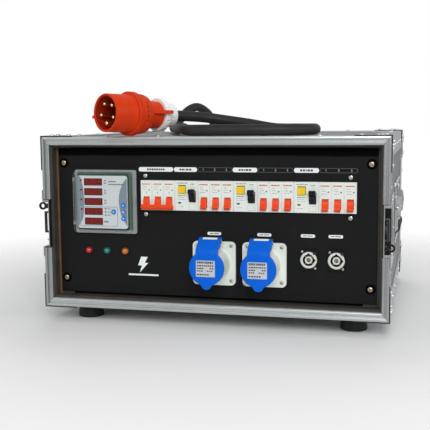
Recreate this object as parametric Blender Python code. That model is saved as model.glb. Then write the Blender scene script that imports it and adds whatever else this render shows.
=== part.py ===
"""Portable power distribution box: a rubber-footed flight case with a 5U
distribution panel, and its supply lead and plug lying on top.

Frame: origin on the floor under the middle of the case, +X to the right of
someone facing the panel, +Y to the rear, +Z up.  Lengths are in millimetres
and are scaled to metres when a mesh is made.  Pieces are shaped by boolean
modifiers on hidden tool objects; cutting tools run past the faces they open.
"""
import itertools
import math

import bmesh
import bpy
from mathutils import Matrix, Vector

for leftover in list(bpy.data.objects):
    bpy.data.objects.remove(leftover, do_unlink=True)

MILLIMETRE = 0.001
GAP = 0.3                       # clearance between separate pieces
BITE = 0.6                      # overlap that fuses joined parts
SIDES = (("left", -1), ("right", 1))

# ---- case ---------------------------------------------------------------
CASE_W, CASE_D, CASE_H = 520.0, 460.0, 260.0
FOOT_H, FOOT_R = 24.0, 20.0
FOOT_X, FOOT_Y = 207.0, 178.0
HALF_W, HALF_D = CASE_W / 2, CASE_D / 2
CASE_Z0, CASE_Z1 = FOOT_H, FOOT_H + CASE_H
CASE_MID_Z = (CASE_Z0 + CASE_Z1) / 2
SKIN = 1.7                      # aluminium edging thickness
SIDE_BOARD, TOP_BOARD, REAR_BOARD = 12.0, 14.0, 12.0
STRIP = 30.0                    # width of the edging's legs on each face
FRONT_BAR, SIDE_BAR = 13.0, 11.2    # edging seen from the front: top and bottom, sides
GROOVE_OUTER, GROOVE_INNER = 4.5, 7.5   # front groove, inset from the case outline

# outsides of the boards, then their inner faces
BOARD_X = HALF_W - SKIN - GAP
BOARD_Z0, BOARD_Z1 = CASE_Z0 + SKIN + GAP, CASE_Z1 - SKIN - GAP
BOARD_Y0, BOARD_Y1 = -HALF_D + 8.5, HALF_D - SKIN - GAP
INNER_X = BOARD_X - SIDE_BOARD
INNER_Z0, INNER_Z1 = BOARD_Z0 + TOP_BOARD, BOARD_Z1 - TOP_BOARD
CLEAR_X, CLEAR_Y = HALF_W + 10.0, HALF_D + 10.0     # reach of cutters beyond the case

# ---- front panel (19 inch, 5 rack units) ---------------------------------
RACK_UNIT = 44.45
PANEL_W, PANEL_H, PANEL_T = 482.6, 5 * RACK_UNIT - 0.75, 2.0
PANEL_Y, PANEL_Z = -209.0, 155.0            # front face, mid-height
ON_PANEL = PANEL_Y - GAP                    # back of a flange lying on the panel
BEHIND_PANEL = PANEL_Y + PANEL_T + GAP
THROUGH_PANEL = (PANEL_Y - 6.0, PANEL_Y + 9.0)
RACK_X, RACK_Z = 232.55, 2 * RACK_UNIT      # fixing slots
BATTEN_X, BATTEN_STEP_X, BATTEN_Y1 = 222.0, 242.2, -185.0

# ---- dished fittings -----------------------------------------------------
DISH_WALL = 1.2
DISH_OUT = 1.8                  # flange face, out from the surface it lies on
DISH_LIP = DISH_OUT - 0.4       # mouth of the recess, inside the flange's thickness

LATCH_Z = PANEL_Z - 3.0
LATCH_Z0, LATCH_Z1 = LATCH_Z - 37.0, LATCH_Z + 37.0
LATCH_Y1, LATCH_FLOOR = -184.0, 250.6
HANDLE_Y0, HANDLE_Y1, HANDLE_Z0, HANDLE_Z1 = -42.0, 102.0, 116.0, 200.0
HANDLE_Y = (HANDLE_Y0 + HANDLE_Y1) / 2
HANDLE_FLOOR = 246.8

# ---- breaker row ---------------------------------------------------------
MODULE = 17.78
ROW_SLOTS = 18
ROW_X0 = -107.6
ROW_Z0, ROW_Z1 = PANEL_Z + 19.1, PANEL_Z + 63.5
ROW_FACE_Y = PANEL_Y - 5.0
NOSE_BACK_Y, BODY_BACK_Y = -190.0, -149.3
BODY_Z, BODY_HALF = (ROW_Z0 + ROW_Z1) / 2, 40.0
GROUP_SLOTS = (3, 8, 13)        # each group: a two-slot RCD, then a bank of three breakers
RCD_MODULES, BANK_MODULES = 2, 3

# ---- instruments and outlets ---------------------------------------------
METER_X, METER_Z = -166.5, PANEL_Z + 30.4
METER_OPENING, METER_BODY = 46.0, 45.5      # half widths
LAMP_Z = PANEL_Z - 45.0
LAMPS = (                                   # name, x, colour
    ("red", -194.5, (0.75, 0.03, 0.02)),
    ("green", -165.0, (0.02, 0.42, 0.30)),
    ("amber", -135.5, (0.9, 0.35, 0.02)))
SOCKET_XS, SOCKET_Z = (4.7, 80.05), PANEL_Z - 58.3
OUTLET_XS, OUTLET_Z = (144.6, 184.3), PANEL_Z - 49.3

# ---- supply lead ---------------------------------------------------------
CABLE_R, CABLE_BORE_R = 8.25, 8.9
INLET_X, INLET_Z = -112.0, 130.0
INLET_SIZE, INLET_CORNER = 80.0, 6.0
INLET_DISH_Z = INLET_Z - 5.0

# ---- materials -------------------------------------------------------------
LAMINATE = dict(color=(0.16, 0.17, 0.18), roughness=0.55)
ALUMINIUM = dict(color=(0.62, 0.66, 0.70), roughness=0.35, metallic=0.9)
STEEL = dict(color=(0.60, 0.62, 0.65), roughness=0.3, metallic=0.95)
BLACK_COAT = dict(color=(0.014, 0.015, 0.017), roughness=0.6)
RUBBER = dict(color=(0.02, 0.02, 0.02), roughness=0.8)
WHITE_PLASTIC = dict(color=(0.72, 0.76, 0.72), roughness=0.4)
GREY_PLASTIC = dict(color=(0.68, 0.72, 0.65), roughness=0.4)
NUT_GREY = dict(color=(0.72, 0.74, 0.72), roughness=0.4)
BLUE = dict(color=(0.0, 0.13, 0.72), roughness=0.35)
KEY_BLUE = dict(color=(0.02, 0.07, 0.42), roughness=0.35)
ORANGE_RED = dict(color=(0.85, 0.05, 0.015), roughness=0.35)
YELLOW = dict(color=(0.95, 0.63, 0.02), roughness=0.35)
PLUG_RED = dict(color=(0.58, 0.05, 0.012), roughness=0.4)
BLACK = dict(color=(0.012, 0.012, 0.013), roughness=0.35)
CLEAR = dict(color=(0.75, 0.80, 0.80), roughness=0.08, alpha=0.3)


def paint(name, color, roughness, metallic=0.0, alpha=1.0):
    material = bpy.data.materials.new(name)
    material.use_nodes = True
    inputs = material.node_tree.nodes["Principled BSDF"].inputs
    inputs["Base Color"].default_value = (*color, 1.0)
    inputs["Roughness"].default_value = roughness
    inputs["Metallic"].default_value = metallic
    inputs["Alpha"].default_value = alpha
    return material


# ===========================================================================
# Objects and booleans
# ===========================================================================
def make_object(name, shape, pivot=(0, 0, 0), smooth=False):
    """Turn a bmesh in millimetres into an object whose origin is pivot."""
    bmesh.ops.recalc_face_normals(shape, faces=shape.faces[:])
    mesh = bpy.data.meshes.new(name)
    shape.to_mesh(mesh)
    shape.free()
    origin = Vector(pivot)
    mesh.transform(Matrix.Scale(MILLIMETRE, 4) @ Matrix.Translation(-origin))
    if smooth:
        mesh.shade_smooth()
        mesh.set_sharp_from_angle(angle=math.radians(35))
    obj = bpy.data.objects.new(name, mesh)
    obj.location = origin * MILLIMETRE
    bpy.context.scene.collection.objects.link(obj)
    return obj


def piece(name, shape, look, pivot=(0, 0, 0), smooth=False):
    """A visible object with a material of its own name."""
    obj = make_object(name, shape, pivot, smooth)
    obj.data.materials.append(paint(name, **look))
    return obj


tool_numbers = itertools.count(1)


def boolean(obj, shape, operation):
    tool = make_object("tool_%03d" % next(tool_numbers), shape)
    tool.hide_render = True
    tool.display_type = 'WIRE'
    modifier = obj.modifiers.new(tool.name, 'BOOLEAN')
    modifier.operation = operation
    modifier.solver = 'EXACT'
    modifier.object = tool


def cut(obj, shape):
    boolean(obj, shape, 'DIFFERENCE')


def add(obj, shape):
    boolean(obj, shape, 'UNION')


# ===========================================================================
# Solids; a shape passed in is added to, otherwise a new one is started
# ===========================================================================
def place(axis, point, along):
    """Put a flat point, its coordinates in axis order, at a station along axis."""
    if axis == 'x':
        return (along, point[0], point[1])
    if axis == 'y':
        return (point[0], along, point[1])
    return (point[0], point[1], along)


def prism(outline, axis, start, end, shape=None, frame=None):
    shape = shape or bmesh.new()
    frame = frame or Matrix.Identity(4)
    first = [shape.verts.new(frame @ Vector(place(axis, p, start))) for p in outline]
    last = [shape.verts.new(frame @ Vector(place(axis, p, end))) for p in outline]
    shape.faces.new(first)
    shape.faces.new(last[::-1])
    for i in range(len(outline)):
        j = (i + 1) % len(outline)
        shape.faces.new((first[j], first[i], last[i], last[j]))
    return shape


def ring_prism(outer, inner, axis, start, end):
    shape = bmesh.new()
    loops = [[shape.verts.new(place(axis, p, along)) for p in outline]
             for outline, along in ((outer, start), (inner, start), (inner, end), (outer, end))]
    for k in range(4):
        near, far = loops[k], loops[(k + 1) % 4]
        for i in range(len(outer)):
            j = (i + 1) % len(outer)
            shape.faces.new((near[i], near[j], far[j], far[i]))
    return shape


def rect(x0, x1, y0, y1):
    return [(x0, y0), (x1, y0), (x1, y1), (x0, y1)]


def box(x0, x1, y0, y1, z0, z1, shape=None):
    return prism(rect(x0, x1, y0, y1), 'z', z0, z1, shape)


def side_span(side, inner, outer):
    """Ascending x range between two distances from the middle, on one side."""
    return sorted((side * inner, side * outer))


def side_box(side, inner, outer, y0, y1, z0, z1):
    return box(*side_span(side, inner, outer), y0, y1, z0, z1)


def rounded(x, y, width, height, radius):
    """Rectangle outline with two-segment corners."""
    points = []
    for sign_x, sign_y, start in ((1, 1, 0), (-1, 1, 90), (-1, -1, 180), (1, -1, 270)):
        for k in range(3):
            angle = math.radians(start + 90.0 * k / 2)
            points.append((x + sign_x * (width / 2 - radius) + radius * math.cos(angle),
                           y + sign_y * (height / 2 - radius) + radius * math.sin(angle)))
    return points


def circle(x, y, radius, segments):
    return [(x + radius * math.cos(2 * math.pi * k / segments),
             y + radius * math.sin(2 * math.pi * k / segments)) for k in range(segments)]


def capsule(x0, y0, x1, y1, radius, segments):
    """Round-ended bar outline; segments is the count around each end."""
    heading = math.atan2(y1 - y0, x1 - x0)
    points = []
    for x, y, start in ((x1, y1, heading - math.pi / 2), (x0, y0, heading + math.pi / 2)):
        for k in range(segments + 1):
            angle = start + math.pi * k / segments
            points.append((x + radius * math.cos(angle), y + radius * math.sin(angle)))
    return points


def lathe(profile, frame, segments):
    """Revolve (radius, height) pairs about local Z; both ends are capped."""
    shape = bmesh.new()
    rings = []
    for radius, height in profile:
        if radius < 1e-6:
            rings.append([shape.verts.new(frame @ Vector((0, 0, height)))])
        else:
            rings.append([shape.verts.new(frame @ Vector((x, y, height)))
                          for x, y in circle(0, 0, radius, segments)])
    for near, far in zip(rings, rings[1:]):
        for k in range(segments):
            j = (k + 1) % segments
            if len(near) == 1:
                shape.faces.new((near[0], far[k], far[j]))
            elif len(far) == 1:
                shape.faces.new((near[j], near[k], far[0]))
            else:
                shape.faces.new((near[j], near[k], far[k], far[j]))
    for ring in (rings[0], rings[-1]):
        if len(ring) > 1:
            shape.faces.new(ring)
    return shape


def facing(x, z):
    """Frame on the panel face with local +Z out of the panel (world -Y)."""
    return Matrix(((1, 0, 0, x), (0, 0, -1, PANEL_Y), (0, 1, 0, z), (0, 0, 0, 1)))


def sweep(path, radius, segments):
    """Round bar along a path, its rings carried forward without twist."""
    shape = bmesh.new()
    last = len(path) - 1
    tangents = [(path[min(i + 1, last)] - path[max(i - 1, 0)]).normalized()
                for i in range(len(path))]
    across = tangents[0].orthogonal().normalized()
    rings = []
    for centre, tangent in zip(path, tangents):
        across = (across - tangent * across.dot(tangent)).normalized()
        normal = tangent.cross(across)
        rings.append([shape.verts.new(centre + across * x + normal * y)
                      for x, y in circle(0, 0, radius, segments)])
    for near, far in zip(rings, rings[1:]):
        for k in range(segments):
            j = (k + 1) % segments
            shape.faces.new((near[k], near[j], far[j], far[k]))
    shape.faces.new(rings[0])
    shape.faces.new(rings[-1])
    return shape


def spline(points, step):
    """Centripetal Catmull-Rom through points, sampled about every step mm."""
    padded = [2 * points[0] - points[1]] + points + [2 * points[-1] - points[-2]]
    samples = []
    for i in range(1, len(padded) - 2):
        p0, p1, p2, p3 = padded[i - 1:i + 3]
        t0 = 0.0
        t1 = t0 + (p1 - p0).length ** 0.5
        t2 = t1 + (p2 - p1).length ** 0.5
        t3 = t2 + (p3 - p2).length ** 0.5
        count = max(1, round((p2 - p1).length / step))
        for k in range(count):
            t = t1 + (t2 - t1) * k / count
            a1 = (t1 - t) / (t1 - t0) * p0 + (t - t0) / (t1 - t0) * p1
            a2 = (t2 - t) / (t2 - t1) * p1 + (t - t1) / (t2 - t1) * p2
            a3 = (t3 - t) / (t3 - t2) * p2 + (t - t2) / (t3 - t2) * p3
            b1 = (t2 - t) / (t2 - t0) * a1 + (t - t0) / (t2 - t0) * a2
            b2 = (t3 - t) / (t3 - t1) * a2 + (t - t1) / (t3 - t1) * a3
            samples.append((t2 - t) / (t2 - t1) * b1 + (t - t1) / (t2 - t1) * b2)
    samples.append(padded[-2])
    return samples


# ===========================================================================
# Case
# ===========================================================================
def latch_opening(side, inner_x):
    return side_box(side, inner_x, CLEAR_X, -CLEAR_Y, LATCH_Y1, LATCH_Z0, LATCH_Z1)


def build_carcass():
    """Four boards in a ring, with stepped battens the panel screws to."""
    carcass = piece("carcass",
                    ring_prism(rect(-BOARD_X, BOARD_X, BOARD_Z0, BOARD_Z1),
                               rect(-INNER_X, INNER_X, INNER_Z0, INNER_Z1),
                               'y', BOARD_Y0, BOARD_Y1), LAMINATE)
    step_y = PANEL_Y - 0.5
    for _, side in SIDES:
        inner, step, outer = side * BATTEN_X, side * BATTEN_STEP_X, side * (INNER_X + BITE)
        batten = [(inner, BEHIND_PANEL), (step, BEHIND_PANEL), (step, step_y),
                  (outer, step_y), (outer, BATTEN_Y1), (inner, BATTEN_Y1)]
        add(carcass, prism(batten, 'z', INNER_Z0 - BITE, INNER_Z1 + BITE))
        cut(carcass, latch_opening(side, LATCH_FLOOR - GAP))
        cut(carcass, side_box(side, INNER_X - 1, CLEAR_X, HANDLE_Y0 - GAP, HANDLE_Y1 + GAP,
                              HANDLE_Z0 - GAP, HANDLE_Z1 + GAP))


def build_rear_board():
    rear = piece("rear_board",
                 prism(rect(-INNER_X + GAP, INNER_X - GAP, INNER_Z0 + GAP, INNER_Z1 - GAP),
                       'y', BOARD_Y1 - REAR_BOARD, BOARD_Y1), LAMINATE)
    opening = INLET_SIZE + 2 * GAP
    cut(rear, prism(rounded(INLET_X, INLET_DISH_Z, opening, opening, INLET_CORNER),
                    'y', 200.0, 240.0))


def case_outline(inset):
    """Front view of the case, drawn in by inset."""
    return rect(-HALF_W + inset, HALF_W - inset, CASE_Z0 + inset, CASE_Z1 - inset)


def build_edging(name, waste_z0, waste_z1):
    """One half of the angle edging; the waste range takes off the other half."""
    leg_x, leg_y = HALF_W - STRIP, HALF_D - STRIP
    leg_z0, leg_z1 = CASE_Z0 + STRIP, CASE_Z1 - STRIP
    shell = piece(name, box(-HALF_W, HALF_W, -HALF_D, HALF_D, CASE_Z0, CASE_Z1), ALUMINIUM)
    # hollow, then windows top and bottom, sides, rear, and front
    cut(shell, box(-HALF_W + SKIN, HALF_W - SKIN, BOARD_Y0 - GAP, HALF_D - SKIN,
                   CASE_Z0 + SKIN, CASE_Z1 - SKIN))
    cut(shell, box(-leg_x, leg_x, -leg_y, leg_y, -50, 350))
    cut(shell, box(-300, 300, -leg_y, leg_y, leg_z0, leg_z1))
    cut(shell, box(-leg_x, leg_x, 180, 260, leg_z0, leg_z1))
    cut(shell, box(-HALF_W + SIDE_BAR, HALF_W - SIDE_BAR, -260, -190,
                   CASE_Z0 + FRONT_BAR, CASE_Z1 - FRONT_BAR))
    cut(shell, ring_prism(case_outline(GROOVE_OUTER), case_outline(GROOVE_INNER),
                          'y', -HALF_D - 1, -HALF_D + 4))
    for _, side in SIDES:
        cut(shell, latch_opening(side, 245.0))
    cut(shell, box(-300, 300, -300, 300, waste_z0, waste_z1))


def build_feet():
    top = BOARD_Z0 - GAP
    profile = [(FOOT_R - 2.5, 0), (FOOT_R, 2.5), (FOOT_R, top - 1.5), (FOOT_R - 1.5, top)]
    for side_name, side in SIDES:
        for end_name, end in (("front", -1), ("rear", 1)):
            frame = Matrix.Translation((side * FOOT_X, end * FOOT_Y, 0))
            piece("foot_%s_%s" % (end_name, side_name), lathe(profile, frame, 16), RUBBER,
                  smooth=True)


# ===========================================================================
# Latch dishes and their keys, one pair on each side
# ===========================================================================
LATCH_FRONT_Y = -HALF_D + GAP
LATCH_FLANGE_Y1, LATCH_FLANGE_HALF_Z = -170.0, 51.0
EYE_X, EYE_OFFSET_Z, EYE_R, EYE_HOLE_R = 261.0, 25.0, 5.9, 3.8
EYE_Y0, EYE_Y1, EYE_ARM_HALF = -229.4, -226.6, 3.4
LOOP_X, LOOP_Z0, LOOP_Z1 = 258.6, PANEL_Z - 17.0, PANEL_Z + 15.5
LOOP_Y0, LOOP_Y1 = -228.6, -224.6
KEY_X, KEY_Y, KEY_DISC_R = 252.1, -207.0, 11.0
KEY_BLADE_HALF_Y, KEY_OUTER_X = 2.2, 258.6


def build_latch_dish(name, side):
    flange_x, mouth_x = HALF_W + DISH_OUT, HALF_W + DISH_LIP
    dish = piece(name, side_box(side, HALF_W + GAP, flange_x, LATCH_FRONT_Y, LATCH_FLANGE_Y1,
                                LATCH_Z - LATCH_FLANGE_HALF_Z, LATCH_Z + LATCH_FLANGE_HALF_Z),
                 STEEL)
    rear_y, low, high = LATCH_Y1 - GAP, LATCH_Z0 + GAP, LATCH_Z1 - GAP
    floor_in = LATCH_FLOOR + DISH_WALL
    add(dish, side_box(side, LATCH_FLOOR, mouth_x, LATCH_FRONT_Y, rear_y, low, high))
    cut(dish, side_box(side, floor_in, flange_x + 2, -235.0, rear_y - DISH_WALL,
                       low + DISH_WALL, high - DISH_WALL))

    # eye on an arm at the front edge, above the middle on the left, below on the right
    eye_z = CASE_MID_Z - side * EYE_OFFSET_Z
    root_x = LATCH_FLOOR + BITE
    add(dish, prism(circle(side * EYE_X, eye_z, EYE_R, 16), 'y', EYE_Y0, EYE_Y1))
    add(dish, side_box(side, root_x, EYE_X - 4.6, EYE_Y0, EYE_Y1,
                       eye_z - EYE_ARM_HALF, eye_z + EYE_ARM_HALF))
    cut(dish, prism(circle(side * EYE_X, eye_z, EYE_HOLE_R, 12), 'y', -232, -220))

    # keeper loop level with the key
    add(dish, side_box(side, root_x, LOOP_X, LOOP_Y0, LOOP_Y1, LOOP_Z0, LOOP_Z1))
    cut(dish, side_box(side, floor_in, LOOP_X - 2.8, -232, -220, LOOP_Z0 + 2.6, LOOP_Z1 - 2.6))


def build_latch_key(name, side):
    """A disc with a blade standing on it, wider at its outer edge."""
    key = piece(name, prism(circle(KEY_Y, LATCH_Z, KEY_DISC_R, 20), 'x',
                            *side_span(side, KEY_X, 253.8)),
                STEEL, (side * KEY_X, KEY_Y, LATCH_Z))
    for inner_x, half_z in ((253.2, 10.4), (256.4, 16.0)):
        add(key, side_box(side, inner_x, KEY_OUTER_X,
                          KEY_Y - KEY_BLADE_HALF_Y, KEY_Y + KEY_BLADE_HALF_Y,
                          LATCH_Z - half_z, LATCH_Z + half_z))


# ===========================================================================
# Side handles
# ===========================================================================
HINGE_X, HINGE_Z, GRIP_X, GRIP_Z = 255.0, 190.0, 257.8, 132.0
GRIP_R, GRIP_END_R, GRIP_CORE_R = 9.2, 7.9, 4.0
HANDLE_FLANGE = 8.0             # flange width and corner radius
STOP = (262.5, 179.0, 264.0, 166.0)     # bump outside each arm: x, z to x, z


def handle_ends(near, far):
    """Y ranges near to far in from the front and rear ends of the handle recess."""
    return ((HANDLE_Y0 + near, HANDLE_Y0 + far), (HANDLE_Y1 - far, HANDLE_Y1 - near))


def build_handle_dish(name, side):
    flange = rounded(HANDLE_Y, (HANDLE_Z0 + HANDLE_Z1) / 2,
                     HANDLE_Y1 - HANDLE_Y0 + 2 * HANDLE_FLANGE,
                     HANDLE_Z1 - HANDLE_Z0 + 2 * HANDLE_FLANGE, HANDLE_FLANGE)
    dish = piece(name, prism(flange, 'x', *side_span(side, BOARD_X + GAP, BOARD_X + DISH_OUT)),
                 STEEL)
    add(dish, side_box(side, HANDLE_FLOOR, BOARD_X + DISH_LIP,
                       HANDLE_Y0, HANDLE_Y1, HANDLE_Z0, HANDLE_Z1))
    cut(dish, side_box(side, HANDLE_FLOOR + DISH_WALL, BOARD_X + 9,
                       HANDLE_Y0 + DISH_WALL, HANDLE_Y1 - DISH_WALL,
                       HANDLE_Z0 + DISH_WALL, HANDLE_Z1 - DISH_WALL))
    # hinge barrels and their bores
    for barrel, bore in zip(handle_ends(0.6, 6), handle_ends(1.2, 7)):
        add(dish, prism(circle(side * HINGE_X, HINGE_Z, 5.0, 14), 'y', *barrel))
        cut(dish, prism(circle(side * HINGE_X, HINGE_Z, 3.0, 12), 'y', *bore))


def build_handle(name, side):
    along_y = Matrix(((1, 0, 0, side * GRIP_X), (0, 0, 1, 0), (0, -1, 0, GRIP_Z), (0, 0, 0, 1)))
    grip = lathe([(GRIP_END_R, HANDLE_Y0 + 17), (GRIP_R, HANDLE_Y0 + 19),
                  (GRIP_R, HANDLE_Y1 - 19), (GRIP_END_R, HANDLE_Y1 - 17)], along_y, 16)
    hinge_x, grip_x = side * HINGE_X, side * GRIP_X
    stop_x0, stop_z0, stop_x1, stop_z1 = STOP
    handle = piece(name, grip, BLACK, (hinge_x, HANDLE_Y, HINGE_Z))
    add(handle, prism(circle(grip_x, GRIP_Z, GRIP_CORE_R, 12), 'y',
                      HANDLE_Y0 + 9, HANDLE_Y1 - 9))
    for arm in handle_ends(7, 11):
        add(handle, prism(capsule(hinge_x, HINGE_Z, grip_x, GRIP_Z, 6.0, 6), 'y', *arm))
        add(handle, prism(capsule(side * stop_x0, stop_z0, side * stop_x1, stop_z1, 5.0, 6),
                          'y', *arm))
    for pin in handle_ends(1.6, 8):
        add(handle, prism(circle(hinge_x, HINGE_Z, 2.5, 12), 'y', *pin))


# ===========================================================================
# Front panel and the rail behind it
# ===========================================================================
RAIL_X0, RAIL_X1 = -118.0, 219.0
RAIL_Y0, RAIL_Y1, RAIL_T = -149.0, -141.5, 1.2
RAIL_EDGE, RAIL_WEB = 17.5, 12.5        # half heights: brim, inside of the channel


def slot_x(slot):
    """Left edge of a breaker slot."""
    return ROW_X0 + slot * MODULE


def build_front_panel():
    panel = piece("front_panel", prism(rect(-PANEL_W / 2, PANEL_W / 2, PANEL_Z - PANEL_H / 2,
                                            PANEL_Z + PANEL_H / 2),
                                       'y', PANEL_Y, PANEL_Y + PANEL_T), BLACK_COAT)
    outlines = [rect(ROW_X0 - GAP, slot_x(ROW_SLOTS) + GAP, ROW_Z0 - GAP, ROW_Z1 + GAP),
                rect(METER_X - METER_OPENING, METER_X + METER_OPENING,
                     METER_Z - METER_OPENING, METER_Z + METER_OPENING)]
    outlines += [circle(x, LAMP_Z, 4.5, 12) for _, x, _ in LAMPS]
    outlines += [circle(x, SOCKET_Z, 23.0, 16) for x in SOCKET_XS]
    outlines += [circle(x, OUTLET_Z, 12.6, 14) for x in OUTLET_XS]
    for _, side in SIDES:
        for z in (PANEL_Z - RACK_Z, PANEL_Z + RACK_Z):
            outlines.append(capsule(side * RACK_X - 2, z, side * RACK_X + 2, z, 3.2, 4))
    holes = bmesh.new()
    for outline in outlines:
        prism(outline, 'y', *THROUGH_PANEL, holes)
    cut(panel, holes)


def build_din_rail():
    """Top-hat rail carrying the breakers, with a bracket to the panel at each end."""
    brim_y, floor_y = RAIL_Y0 + RAIL_T, RAIL_Y1 - RAIL_T
    outside = RAIL_WEB + RAIL_T
    hat = [(RAIL_Y0, RAIL_EDGE), (RAIL_Y0, RAIL_WEB), (floor_y, RAIL_WEB), (floor_y, -RAIL_WEB),
           (RAIL_Y0, -RAIL_WEB), (RAIL_Y0, -RAIL_EDGE), (brim_y, -RAIL_EDGE), (brim_y, -outside),
           (RAIL_Y1, -outside), (RAIL_Y1, outside), (brim_y, outside), (brim_y, RAIL_EDGE)]
    rail = piece("din_rail", prism([(y, BODY_Z + z) for y, z in hat], 'x', RAIL_X0, RAIL_X1),
                 STEEL)
    for x0 in (RAIL_X0 - BITE, RAIL_X1 + BITE - 2.0):
        add(rail, box(x0, x0 + 2.0, BEHIND_PANEL, RAIL_Y1 + BITE, BODY_Z - 20, BODY_Z + 20))


# ===========================================================================
# Breaker row
# ===========================================================================
PIVOT_Y = PANEL_Y - 1.5
BREAKER_PIVOT_Z, RCD_PIVOT_Z = PANEL_Z + 31.5, PANEL_Z + 40.0
LEVER_SWING = 40.0              # degrees either side of straight out
ISOLATOR_REACH, BREAKER_REACH = 11.6, 12.5      # pivot to toggle tip
RCD_TOGGLE_X = 26.75            # from the RCD's left edge
TEST_X, TEST_Z, TEST_W, TEST_H = 11.0, PANEL_Z + 50.8, 11.0, 11.6
TEST_GAP = 0.4

# side view (y, z) of a module: a nose through the panel on a taller body
MODULE_OUTLINE = [
    (ROW_FACE_Y, ROW_Z0), (NOSE_BACK_Y, ROW_Z0),
    (NOSE_BACK_Y, BODY_Z - BODY_HALF), (BODY_BACK_Y, BODY_Z - BODY_HALF),
    (BODY_BACK_Y, BODY_Z + BODY_HALF), (NOSE_BACK_Y, BODY_Z + BODY_HALF),
    (NOSE_BACK_Y, ROW_Z1), (ROW_FACE_Y, ROW_Z1)]


def lever_point(pivot_z, angle, out, across):
    """(y, z) at a distance out along, and across, a lever raised by angle degrees."""
    lean = math.radians(angle)
    return (PIVOT_Y - out * math.cos(lean) - across * math.sin(lean),
            pivot_z + out * math.sin(lean) - across * math.cos(lean))


def lever_outline(pivot_z, radius, angle, reach, half, tip):
    """Side view (y, z) of a toggle: a barrel with a nose at an angle from straight out."""
    lean = math.radians(angle)
    root = math.asin(half / radius)
    points = []
    for k in range(10):
        turn = lean + root + (2 * math.pi - 2 * root) * k / 9
        points.append((PIVOT_Y - radius * math.cos(turn), pivot_z + radius * math.sin(turn)))
    for out, across in ((reach - 1.2, half), (reach, tip), (reach, -tip), (reach - 1.2, -half)):
        points.append(lever_point(pivot_z, angle, out, across))
    return points


def module_body(name, slot, modules):
    return piece(name, prism(MODULE_OUTLINE, 'x', slot_x(slot) + GAP / 2,
                             slot_x(slot + modules) - GAP / 2), WHITE_PLASTIC)


def toggle_window(x, z, half_w, half_h, floor_y, shape=None):
    return box(x - half_w, x + half_w, ROW_FACE_Y - 3, floor_y, z - half_h, z + half_h, shape)


def breaker_windows(slot):
    windows = None
    for k in range(BANK_MODULES):
        windows = toggle_window(slot_x(slot + k + 0.5), BREAKER_PIVOT_Z, 4.8, 7.8, -202.5,
                                windows)
    return windows


def breaker_toggle(x, reach, shape=None):
    outline = lever_outline(BREAKER_PIVOT_Z, 7.2, -LEVER_SWING, reach, half=3.0, tip=2.2)
    return prism(outline, 'x', x - 4.4, x + 4.4, shape)


def build_isolator():
    """Three-pole main isolator: three toggles tied by one bar."""
    cut(module_body("isolator_body", 0, BANK_MODULES), breaker_windows(0))
    toggles = None
    for k in range(BANK_MODULES):
        toggles = breaker_toggle(slot_x(k + 0.5), ISOLATOR_REACH, toggles)
    bar = [lever_point(BREAKER_PIVOT_Z, -LEVER_SWING, out, across)
           for out, across in ((9.4, -3.8), (14.6, -3.0), (14.6, 3.0), (9.4, 3.8))]
    lever = piece("isolator_lever",
                  prism(bar, 'x', ROW_X0 + 2.2, slot_x(BANK_MODULES) - 1.4),
                  ORANGE_RED, (slot_x(1.5), PIVOT_Y, BREAKER_PIVOT_Z))
    add(lever, toggles)


def build_rcd(number, slot):
    """Residual-current device: body, raised toggle and test button."""
    body = module_body("rcd_body_%d" % number, slot, RCD_MODULES)
    toggle_x, test_x = slot_x(slot) + RCD_TOGGLE_X, slot_x(slot) + TEST_X
    half_w, half_h = TEST_W / 2 + TEST_GAP, TEST_H / 2 + TEST_GAP
    openings = toggle_window(toggle_x, RCD_PIVOT_Z, 5.2, 8.6, -201.9)
    toggle_window(test_x, TEST_Z, half_w, half_h, -206.0, openings)
    cut(body, openings)
    outline = lever_outline(RCD_PIVOT_Z, 8.0, LEVER_SWING, 15.2, half=3.2, tip=2.4)
    piece("rcd_lever_%d" % number, prism(outline, 'x', toggle_x - 4.8, toggle_x + 4.8),
          BLACK, (toggle_x, PIVOT_Y, RCD_PIVOT_Z))
    piece("rcd_test_button_%d" % number,
          prism(rounded(test_x, TEST_Z, TEST_W, TEST_H, 1.5), 'y', PANEL_Y - 8.5, PANEL_Y),
          YELLOW, (test_x, PANEL_Y, TEST_Z))


def build_breaker_bank(number, slot):
    """Three single-pole breakers, parted by shallow grooves in the face."""
    body = module_body("mcb_bank_%d" % number, slot, BANK_MODULES)
    openings = breaker_windows(slot)
    for k in range(1, BANK_MODULES):
        x = slot_x(slot + k)
        box(x - 0.3, x + 0.3, ROW_FACE_Y - 2, ROW_FACE_Y + 1.2, ROW_Z0 - 2, ROW_Z1 + 2, openings)
    cut(body, openings)
    for k in range(BANK_MODULES):
        x = slot_x(slot + k + 0.5)
        piece("mcb_lever_%d" % ((number - 1) * BANK_MODULES + k + 1),
              breaker_toggle(x, BREAKER_REACH), ORANGE_RED, (x, PIVOT_Y, BREAKER_PIVOT_Z))


# ===========================================================================
# Panel meter: case, four keys, hinged clear cover
# ===========================================================================
METER_OUT = 12.0                # face, out from the panel
FACE_Y = PANEL_Y - METER_OUT
METER_KEY_R = 3.6
METER_KEYS = (                  # x, height above the middle of the panel
    (-133.1, 25.9), (-133.0, 16.0), (-133.0, 6.2), (-148.9, 15.9))
COVER_X = METER_X + 0.5
COVER_HINGE_X, COVER_HINGE_Y = METER_X - 49.9, PANEL_Y - 3.0
COVER_BACK_Y, COVER_HINGE_HALF = PANEL_Y - 4.4, 30.0


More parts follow.
